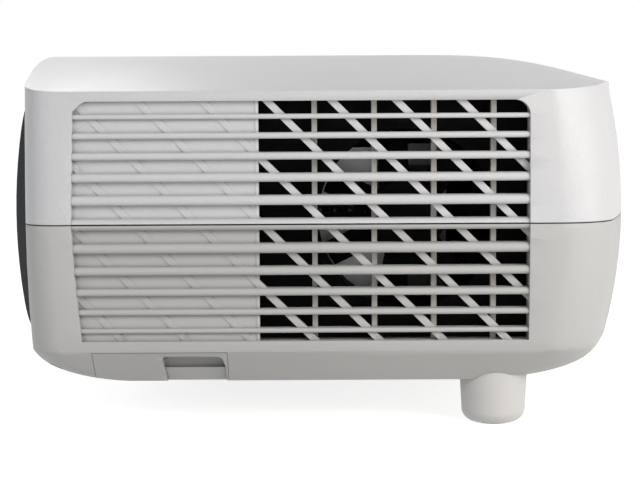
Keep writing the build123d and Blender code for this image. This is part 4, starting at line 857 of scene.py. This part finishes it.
def contact_recipe() -> Recipe:
    """Round contacts in a grid that faces Y."""
    recipe = Recipe("contacts", Across=9, Up=2, Pitch_X=0.0025, Pitch_Z=0.003, Radius=0.0005, Length=0.003,
                    Middle=(0.0, 0.0, 0.0))
    graph = recipe.graph
    wide = graph.math("MULTIPLY", graph.math("SUBTRACT", recipe.take("Across"), 1.0), recipe.take("Pitch_X"))
    high = graph.math("MULTIPLY", graph.math("SUBTRACT", recipe.take("Up"), 1.0), recipe.take("Pitch_Z"))
    grid = graph.add("GeometryNodeMeshGrid", {"Size X": wide, "Size Y": high,
                                              "Vertices X": recipe.take("Across"),
                                              "Vertices Y": recipe.take("Up")})
    pin = graph.add("GeometryNodeMeshCylinder", {"Vertices": 10, "Radius": recipe.take("Radius"),
                                                 "Depth": recipe.take("Length")})
    pins = graph.add("GeometryNodeInstanceOnPoints", {"Points": grid.outputs[0],
                                                      "Instance": pin.outputs["Mesh"]})
    placed = graph.add("GeometryNodeTransform", {"Geometry": pins.outputs[0],
                                                 "Translation": recipe.take("Middle"),
                                                 "Rotation": (math.pi / 2, 0.0, 0.0)})
    return recipe.close(placed.outputs[0])


def component_recipe() -> Recipe:
    """Small parts strewn over a flat field that is then turned and placed, from a fixed seed."""
    recipe = Recipe("board_components", Length=0.05, Width=0.04, Density=9000.0, Seed=4, Tallest=0.0025,
                    Middle=(0.0, 0.0, 0.0), Turn=(0.0, 0.0, 0.0))
    graph = recipe.graph
    area = graph.add("GeometryNodeMeshGrid", {"Size X": recipe.take("Length"), "Size Y": recipe.take("Width"),
                                              "Vertices X": 2, "Vertices Y": 2})
    points = graph.add("GeometryNodeDistributePointsOnFaces",
                       {"Mesh": area.outputs[0], "Distance Min": 0.0042,
                        "Density Max": recipe.take("Density"),
                        "Seed": recipe.take("Seed")}, distribute_method="POISSON")
    block = graph.add("GeometryNodeMeshCube", {"Size": (1.0, 1.0, 1.0)})
    low = graph.add("GeometryNodeTransform", {"Geometry": block.outputs[0], "Translation": (0.0, 0.0, 0.5)})
    size = graph.add("FunctionNodeRandomValue", {0: (0.0010, 0.0007, 0.0004), "Seed": 11},
                     data_type="FLOAT_VECTOR")
    most = graph.add("CombineXYZ", {0: 0.0034, 1: 0.0022, 2: recipe.take("Tallest")})
    graph.tree.links.new(most.outputs[0], size.inputs[1])
    parts = graph.add("GeometryNodeInstanceOnPoints",
                      {"Points": points.outputs[0], "Instance": low.outputs[0],
                       "Scale": size.outputs[0]})
    placed = graph.add("GeometryNodeTransform", {"Geometry": parts.outputs[0],
                                                 "Translation": recipe.take("Middle"),
                                                 "Rotation": recipe.take("Turn")})
    return recipe.close(placed.outputs[0])


class Recipes:
    """Every geometry recipe, each built once."""

    def __init__(self) -> None:
        """Build the trees."""
        self.ring_row = ring_row_recipe()
        self.contacts = contact_recipe()
        self.components = component_recipe()


# ---- fine parts ----
Loop = list[tuple[float, float]]


def prism(name: str, loops: list[Loop], axis: str, low: float, high: float) -> bpy.types.Object:
    """Straight prisms over closed outlines, merged into one piece.

    Args:
        name: the piece's name.
        loops: the outlines, each a list of points across the axis, as (Y, Z) for X, (X, Z) for Y and
            (X, Y) for Z.
        axis: "X", "Y" or "Z", the prisms' direction.
        low: where they start along the axis.
        high: where they end.

    Returns:
        The new object, with its place in its mesh.
    """
    work = bmesh.new()
    for loop in loops:
        ends = []
        for level in (low, high):
            corners = {"X": [(level, u, v) for u, v in loop], "Y": [(u, level, v) for u, v in loop],
                       "Z": [(u, v, level) for u, v in loop]}[axis]
            ends.append([work.verts.new(corner) for corner in corners])
        first, last = ends
        work.faces.new(first)
        work.faces.new(last)
        for number, corner in enumerate(first):
            following = (number + 1) % len(first)
            work.faces.new((corner, first[following], last[following], last[number]))
    bmesh.ops.recalc_face_normals(work, faces=work.faces)
    mesh = bpy.data.meshes.new(name)
    work.to_mesh(mesh)
    work.free()
    piece = bpy.data.objects.new(name, mesh)
    bpy.context.scene.collection.objects.link(piece)
    return piece


def shifted(loop: Loop, across: float, up: float, size: float = 1.0) -> Loop:
    """An outline scaled and then moved."""
    return [(across + u * size, up + v * size) for u, v in loop]


def turned(loop: Loop, angle: float) -> Loop:
    """An outline turned about its origin by an angle in degrees."""
    cosine, sine = math.cos(math.radians(angle)), math.sin(math.radians(angle))
    return [(u * cosine - v * sine, u * sine + v * cosine) for u, v in loop]


def band(radius: float, width: float, start: float, end: float, steps: int = 28) -> Loop:
    """A strip bent along an arc, as an outline.

    Args:
        radius: the arc's radius at the middle of the strip.
        width: the strip's width.
        start: where it starts, in degrees.
        end: where it ends, in degrees.
        steps: how many straight parts follow the arc.

    Returns:
        The outline, outer side first.
    """
    angles = [math.radians(start + (end - start) * step / steps) for step in range(steps + 1)]
    outer = [((radius + width / 2) * math.cos(a), (radius + width / 2) * math.sin(a)) for a in angles]
    inner = [((radius - width / 2) * math.cos(a),
              (radius - width / 2) * math.sin(a)) for a in reversed(angles)]
    return outer + inner


def bar(width: float, height: float, across: float = 0.0, up: float = 0.0) -> Loop:
    """An upright rectangle, as an outline."""
    return [(across - width / 2, up - height / 2), (across + width / 2, up - height / 2),
            (across + width / 2, up + height / 2), (across - width / 2, up + height / 2)]


def pill(width: float, height: float, steps: int = 8) -> Loop:
    """A rectangle with round ends, as an outline."""
    reach = width / 2 - height / 2
    right = [math.radians(-90 + 180 * step / steps) for step in range(steps + 1)]
    left = [angle + math.pi for angle in right]
    return ([(reach + height / 2 * math.cos(a), height / 2 * math.sin(a)) for a in right]
            + [(-reach + height / 2 * math.cos(a), height / 2 * math.sin(a)) for a in left])


TRIANGLE: Loop = [(-0.5, -0.58), (0.62, 0.0), (-0.5, 0.58)]


class Symbol(enum.Enum):
    """Generic signs on the keys, drawn on a square two units wide."""

    POWER = [band(0.72, 0.2, 125, 415), bar(0.2, 0.8, up=0.62)]
    SOURCE = [band(0.8, 0.18, 40, 320), shifted(TRIANGLE, 0.05, 0.0, 0.8)]
    MENU = [bar(1.4, 0.2, up=0.5), bar(1.4, 0.2), bar(1.4, 0.2, up=-0.5)]
    SELECT = [band(0.55, 0.18, 0, 350)]
    REARWARD = [turned(TRIANGLE, 180)]
    FORWARD = [TRIANGLE]
    LEFTWARD = [turned(TRIANGLE, 90)]
    RIGHTWARD = [turned(TRIANGLE, -90)]
    EJECT = [shifted(turned(TRIANGLE, 90), 0.0, 0.22, 0.9), bar(1.05, 0.2, up=-0.62)]
    PLAY = [turned(TRIANGLE, 180)]
    STOP = [bar(0.95, 0.95)]


CROWN_SYMBOLS: dict[str, Symbol] = {
    "power_key": Symbol.POWER,
    "source_key": Symbol.SOURCE,
    "menu_key": Symbol.MENU,
    "select_key": Symbol.SELECT,
    "rear_arrow_key": Symbol.REARWARD,
    "front_arrow_key": Symbol.FORWARD,
    "left_arrow_key": Symbol.LEFTWARD,
    "right_arrow_key": Symbol.RIGHTWARD,
}
FASCIA_SYMBOLS: dict[str, Symbol] = {
    "eject_key": Symbol.EJECT,
    "play_key": Symbol.PLAY,
    "stop_key": Symbol.STOP,
}


@dataclass
class Keys:
    """Printed signs on the keys of the crown and the rear fascia, each riding on its key.

    Args:
        shop: the workshop.
        share: half a sign's square as a share of its key's half width inside the flange.
        proud: how far the print stands above the key.
        sunk: how far it reaches into the key.
        flange: width of the key's hidden flange, which a sign keeps clear of.
    """

    shop: Workshop
    share: float = 0.52
    proud: float = 0.03 * MM
    sunk: float = 0.10 * MM
    flange: float = 1.5 * MM

    def build(self) -> None:
        """Print every key."""
        for name, symbol in CROWN_SYMBOLS.items():
            low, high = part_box(name)
            size = ((high[0] - low[0]) / 2 - self.flange) * self.share
            middle = ((low[0] + high[0]) / 2, (low[1] + high[1]) / 2)
            loops = [shifted(loop, *middle, size) for loop in symbol.value]
            self._print(name, prism(name + "_sign", loops, "Z", high[2] - self.sunk, high[2] + self.proud))
        for name, symbol in FASCIA_SYMBOLS.items():
            low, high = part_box(name)
            size = ((high[2] - low[2]) / 2 - self.flange) * self.share
            middle = ((low[1] + high[1]) / 2, (low[2] + high[2]) / 2)
            loops = [shifted(loop, *middle, size) for loop in symbol.value]
            self._print(name, prism(name + "_sign", loops, "X", low[0] - self.proud, low[0] + self.sunk))

    def _print(self, key: str, sign: bpy.types.Object) -> None:
        """Fasten a sign to its key."""
        self.shop.finish_piece(sign, Finishes.MARK, self.shop.body_of(key))


@dataclass
class RearDisplay:
    """The display module behind the smoked window: a dark block with unlit figures.

    Args:
        shop: the workshop.
        face_x: where the module's face stands.
        back_x: where its back stands, 0.2 mm before the board.
        height: level of its middle.
        size: its width and height.
        figures: how many figures it shows.
        figure: width and height of a figure.
        spacing: distance between figures.
        stroke: width of a figure's strokes.
        gap: half the distance between two strokes' points.
        proud: how far the figures stand out of the module, and reach into it.
    """

    shop: Workshop
    face_x: float = -155.2 * MM
    back_x: float = -151.2 * MM
    height: float = 76.0 * MM
    size: tuple[float, float] = (58.0 * MM, 11.5 * MM)
    figures: int = 6
    figure: tuple[float, float] = (4.6 * MM, 8.0 * MM)
    spacing: float = 8.2 * MM
    stroke: float = 0.7 * MM
    gap: float = 0.15 * MM
    proud: float = 0.1 * MM

    def build(self) -> None:
        """Make the module and its figures."""
        width, height = self.size
        body = prism("display_module", [shifted(pill(width, height), 0.0, self.height)], "X", self.face_x,
                     self.back_x)
        self.shop.finish_piece(body, Finishes.DARK, "casing")
        loops = []
        for number in range(self.figures):
            middle = (number - (self.figures - 1) / 2) * self.spacing
            loops += [shifted(loop, middle, self.height) for loop in self._strokes()]
        strokes = prism("display_figures", loops, "X", self.face_x - self.proud, self.face_x + self.proud)
        self.shop.finish_piece(strokes, Finishes.FIGURE, "casing")

    def _strokes(self) -> list[Loop]:
        """The seven strokes of a figure, each with pointed ends."""
        width, height = self.figure
        half, gap = self.stroke / 2, self.gap
        long = [(-width / 2 + gap, 0.0), (-width / 2 + gap + half, half), (width / 2 - gap - half, half),
                (width / 2 - gap, 0.0), (width / 2 - gap - half, -half), (-width / 2 + gap + half, -half)]
        reach = height / 4 - gap
        tall = [(-half, half - reach), (0.0, -reach), (half, half - reach),
                (half, reach - half), (0.0, reach), (-half, reach - half)]
        across = [shifted(long, 0.0, level) for level in (-height / 2, 0.0, height / 2)]
        upright = [shifted(tall, side, level) for side in (-width / 2, width / 2)
                   for level in (-height / 4, height / 4)]
        return across + upright


@dataclass
class LensEnd:
    """Ridges in the lens mouth and light baffles in the barrel.

    Args:
        shop: the workshop.
        recipes: the geometry recipes.
        middle: where the lens axis crosses the plane x = 0.
        cone: first and last ridge of the mouth along X.
        cone_radius: the mouth's radius at its first ridge.
        widening: how much the mouth widens for each metre along X.
        cone_pitch: distance between the ridges of the mouth.
        ridge: radius of a ridge's section.
        barrel: first and last baffle of the barrel along X.
        barrel_radius: the baffles' radius, just inside the barrel's bore.
        barrel_pitch: distance between baffles.
        baffle: radius of a baffle's section.
    """

    shop: Workshop
    recipes: Recipes
    middle: tuple[float, float, float] = (0.0, 62.0 * MM, 100.0 * MM)
    cone: tuple[float, float] = (131.0 * MM, 150.5 * MM)
    cone_radius: float = 36.73 * MM
    widening: float = 6.8 / 28.0
    cone_pitch: float = 1.5 * MM
    ridge: float = 0.42 * MM
    barrel: tuple[float, float] = (98.0 * MM, 124.0 * MM)
    barrel_radius: float = 22.9 * MM
    barrel_pitch: float = 2.0 * MM
    baffle: float = 0.5 * MM

    def build(self) -> None:
        """Make the ridges and the baffles."""
        self._rows("mouth_ridges", self.cone, self.cone_pitch, self.cone_radius, self.widening, self.ridge,
                   Finishes.DARK_SATIN)
        self._rows("barrel_baffles", self.barrel, self.barrel_pitch, self.barrel_radius, 0.0, self.baffle,
                   Finishes.DARK)

    def _rows(self, name: str, span: tuple[float, float], pitch: float, radius: float, widening: float,
              bead: float, finish: Finishes) -> None:
        """Make one row of rings.

        Args:
            name: the piece's name.
            span: first and last ring along X.
            pitch: distance between rings.
            radius: radius of the first ring.
            widening: how much the radius grows for each metre along X.
            bead: radius of the ring's section.
            finish: the rings' finish.
        """
        count = int(round((span[1] - span[0]) / pitch)) + 1
        piece = self.recipes.ring_row.make(
            name, self.shop.palette.material(finish), Count=count, First_X=span[0], Pitch=pitch,
            First_Radius=radius, Widening=widening * pitch, Bead=bead, Middle=self.middle)
        self.shop.finish_piece(piece, finish, "casing")


@dataclass(frozen=True)
class Socket:
    """One socket with two rows of contacts: the rows' name, its place along X and the contacts in a row."""

    name: str
    place: float
    across: int


@dataclass(frozen=True)
class Jack:
    """One round jack: its collar's name, its place along X and the collar's finish."""

    name: str
    place: float
    finish: Finishes


@dataclass
class PortSide:
    """What shows in the sockets of the far side: contact rows and coloured collars.

    Args:
        shop: the workshop.
        recipes: the geometry recipes.
        sockets: the sockets with rows of contacts.
        jacks: the round jacks.
        height: level of all sockets.
        contact_y: middle of the contacts along Y.
        contact_length: how long a contact is.
        contact_radius: a contact's radius.
        contact_pitch: distance between contacts, in a row and between rows.
        flange_y: outer face of the jacks' flanges.
        collar_radii: a collar's inner and outer radius.
        collar_proud: how far it stands out of its flange.
        collar_sunk: how far it reaches into the flange.
    """

    shop: Workshop
    recipes: Recipes
    sockets: tuple[Socket, ...] = (
        Socket("wide_socket_contacts", -4.0 * MM, 10),
        Socket("narrow_socket_contacts", 34.0 * MM, 4),
    )
    jacks: tuple[Jack, ...] = (
        Jack("video_collar", -60.0 * MM, Finishes.YELLOW),
        Jack("left_sound_collar", -44.0 * MM, Finishes.MARK),
        Jack("right_sound_collar", -28.0 * MM, Finishes.RED),
    )
    height: float = 71.0 * MM
    contact_y: float = 161.0 * MM
    contact_length: float = 4.4 * MM
    contact_radius: float = 0.45 * MM
    contact_pitch: tuple[float, float] = (2.4 * MM, 2.0 * MM)
    flange_y: float = 164.5 * MM
    collar_radii: tuple[float, float] = (4.3 * MM, 5.2 * MM)
    collar_proud: float = 0.8 * MM
    collar_sunk: float = 0.05 * MM

    def build(self) -> None:
        """Make the contacts and the collars."""
        pitch_x, pitch_z = self.contact_pitch
        for socket in self.sockets:
            piece = self.recipes.contacts.make(
                socket.name, self.shop.palette.material(Finishes.BRASS), Across=socket.across, Up=2,
                Pitch_X=pitch_x, Pitch_Z=pitch_z, Radius=self.contact_radius, Length=self.contact_length,
                Middle=(socket.place, self.contact_y, self.height))
            self.shop.finish_piece(piece, Finishes.BRASS, "casing")
        inner, outer = self.collar_radii
        ring = [band((inner + outer) / 2, outer - inner, start, start + 180) for start in (0, 180)]
        for jack in self.jacks:
            halves = [shifted(half, jack.place, self.height) for half in ring]
            collar = prism(jack.name, halves, "Y", self.flange_y - self.collar_sunk,
                           self.flange_y + self.collar_proud)
            self.shop.finish_piece(collar, jack.finish, "casing")


@dataclass(frozen=True)
class Patch:
    """A field of small parts: its name, size, middle and turn, and the seed that strews it."""

    name: str
    length: float
    width: float
    middle: tuple[float, float, float]
    turn: tuple[float, float, float]
    seed: int


UPRIGHT = (math.pi / 2, 0.0, 0.0)
LYING = (0.0, 0.0, 0.0)


@dataclass
class Boards:
    """Small parts strewn over the main board, the power supply's board and the lamp ballast's.

    Args:
        shop: the workshop.
        recipes: the geometry recipes.
        patches: the fields of parts.
    """

    shop: Workshop
    recipes: Recipes
    patches: tuple[Patch, ...] = (
        Patch("main_board_parts", 0.150, 0.046, (-0.029, 0.1379, 0.0715), UPRIGHT, 3),
        Patch("supply_parts", 0.104, 0.048, (-0.080, 0.107, 0.0377), LYING, 5),
        Patch("ballast_parts", 0.070, 0.038, (-0.0875, 0.041, 0.0357), LYING, 8),
    )

    def build(self) -> None:
        """Strew parts over each board."""
        for patch in self.patches:
            piece = self.recipes.components.make(
                patch.name, self.shop.palette.material(Finishes.CHIP), Length=patch.length,
                Width=patch.width, Seed=patch.seed, Middle=patch.middle, Turn=patch.turn)
            self.shop.finish_piece(piece, Finishes.CHIP, "casing")


# ---- studio ----
def shown(graph: Graph) -> bpy.types.NodeSocket:
    """1 where the camera, a reflection or glass shows a backdrop, and 0 where it only lights the object."""
    path = graph.add("LightPath")
    seen = graph.math("MAXIMUM", path.outputs["Is Camera Ray"], path.outputs["Is Glossy Ray"])
    return graph.math("MAXIMUM", seen, path.outputs["Is Transmission Ray"])


@dataclass(frozen=True)
class Lamp:
    """One soft square lamp.

    Args:
        name: its name.
        place: where it hangs.
        target: the point it faces.
        size: its side in metres.
        power: its power in watts.
        colour: its linear colour.
    """

    name: str
    place: tuple[float, float, float]
    target: tuple[float, float, float]
    size: float
    power: float
    colour: Colour

    def hang(self) -> None:
        """Add the lamp to the scene."""
        data = bpy.data.lights.new(self.name, "AREA")
        data.shape = "SQUARE"
        data.size = self.size
        data.energy = self.power
        data.color = self.colour
        lamp = bpy.data.objects.new(self.name, data)
        aim = (Vector(self.target) - Vector(self.place)).to_track_quat("-Z", "Y")
        lamp.matrix_world = Matrix.Translation(self.place) @ aim.to_matrix().to_4x4()
        bpy.context.scene.collection.objects.link(lamp)


WARM: Colour = (1.0, 0.965, 0.925)
COOL: Colour = (0.93, 0.96, 1.0)
NEUTRAL: Colour = (1.0, 1.0, 1.0)


@dataclass
class Studio:
    """Camera, floor, lamps and a white surround.

    Args:
        camera_place: where the camera stands.
        pitch: how far it looks down, in degrees.
        roll: how far it leans, in degrees.
        focal: focal length on a 36 mm sensor.
        ambient: strength of the surround as a light.
        floor_reach: half the floor's side.
        floor_colour: the floor's linear colour.
        floor_glow: what is added to the floor where the camera, a reflection or glass shows it.
        lamps: the lamps.
    """

    camera_place: tuple[float, float, float] = (-0.005, -0.970, 0.1663)
    pitch: float = 5.1
    roll: float = -0.3
    focal: float = 94.16
    ambient: float = 0.31
    floor_reach: float = 40.0
    floor_colour: Colour = (0.80, 0.80, 0.79)
    floor_glow: float = 0.80
    lamps: tuple[Lamp, ...] = (
        Lamp("key_light", (0.95, -1.35, 1.05), (0.03, -0.05, 0.08), 0.6, 9.0, WARM),
        Lamp("near_light", (0.55, -0.80, 0.40), (0.10, -0.10, 0.09), 0.4, 2.3, WARM),
        Lamp("edge_light", (0.75, -0.45, 0.22), (0.14, -0.12, 0.10), 0.4, 1.4, WARM),
        Lamp("fill_light", (-1.25, -1.15, 0.70), (-0.02, -0.10, 0.09), 0.6, 4.6, COOL),
        Lamp("crown_light", (-0.26, 0.42, 0.62), (-0.07, -0.12, 0.18), 0.25, 0.9, NEUTRAL),
    )

    def build(self) -> None:
        """Set up everything that isn't part of the object."""
        scene = bpy.context.scene
        scene.view_settings.view_transform = "Standard"
        self._camera(scene)
        self._surround(scene)
        self._floor()
        for lamp in self.lamps:
            lamp.hang()
        log.info("studio is set")

    def _camera(self, scene: bpy.types.Scene) -> None:
        """Place the camera that frames the louvred side."""
        data = bpy.data.cameras.new("portrait_camera")
        data.lens = self.focal
        data.sensor_width = 36.0
        camera = bpy.data.objects.new("portrait_camera", data)
        look = Matrix.Rotation(math.radians(90 - self.pitch), 4, "X")
        lean = Matrix.Rotation(math.radians(self.roll), 4, "Z")
        camera.matrix_world = Matrix.Translation(self.camera_place) @ look @ lean
        scene.collection.objects.link(camera)
        scene.camera = camera

    def _surround(self, scene: bpy.types.Scene) -> None:
        """A world that looks white and lights softly."""
        world = bpy.data.worlds.new("white_surround")
        world.use_nodes = True
        world.node_tree.nodes.clear()
        graph = Graph(world.node_tree)
        strength = graph.spread(shown(graph), 0.0, 1.0, self.ambient, 1.0)
        back = graph.add("Background", {"Color": opaque(NEUTRAL), "Strength": strength})
        graph.add("OutputWorld", {"Surface": back.outputs[0]})
        scene.world = world

    def _floor(self) -> None:
        """A plain pale floor that keeps the object's shadow."""
        mesh = bpy.data.meshes.new("studio_floor")
        reach = self.floor_reach
        corners = [(-reach, -reach, 0), (reach, -reach, 0), (reach, reach, 0), (-reach, reach, 0)]
        mesh.from_pydata(corners, [], [(0, 1, 2, 3)])
        floor = bpy.data.objects.new("studio_floor", mesh)
        bpy.context.scene.collection.objects.link(floor)
        material = bpy.data.materials.new("studio_floor")
        material.use_nodes = True
        material.node_tree.nodes.clear()
        graph = Graph(material.node_tree)
        pale = graph.add("BsdfDiffuse", {"Color": opaque(self.floor_colour)})
        lift = graph.math("MULTIPLY", shown(graph), self.floor_glow)
        glow = graph.add("Emission", {"Color": opaque(NEUTRAL), "Strength": lift})
        both = graph.add("AddShader", {0: pale.outputs[0], 1: glow.outputs[0]})
        graph.add("OutputMaterial", {"Surface": both.outputs[0]})
        mesh.materials.append(material)


SMOOTH_NODES = ("upper_shell", "lower_shell", "lamp_door", "rear_fascia", "near_screw_leg", "far_screw_leg",
                "rear_leg", "lens_surround", "tray_front")


def main() -> None:
    """Build the studio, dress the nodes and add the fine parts."""
    logging.basicConfig(level=logging.INFO, format="%(name)s: %(message)s")
    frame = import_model()
    Studio().build()
    shop = Workshop(frame, Palette())
    shop.dress_nodes()
    for name in SMOOTH_NODES:
        shop.smooth_twin(name)
    recipes = Recipes()
    for group in (Keys(shop), RearDisplay(shop), LensEnd(shop, recipes), PortSide(shop, recipes),
                  Boards(shop, recipes)):
        group.build()


if __name__ == "__main__":
    main()
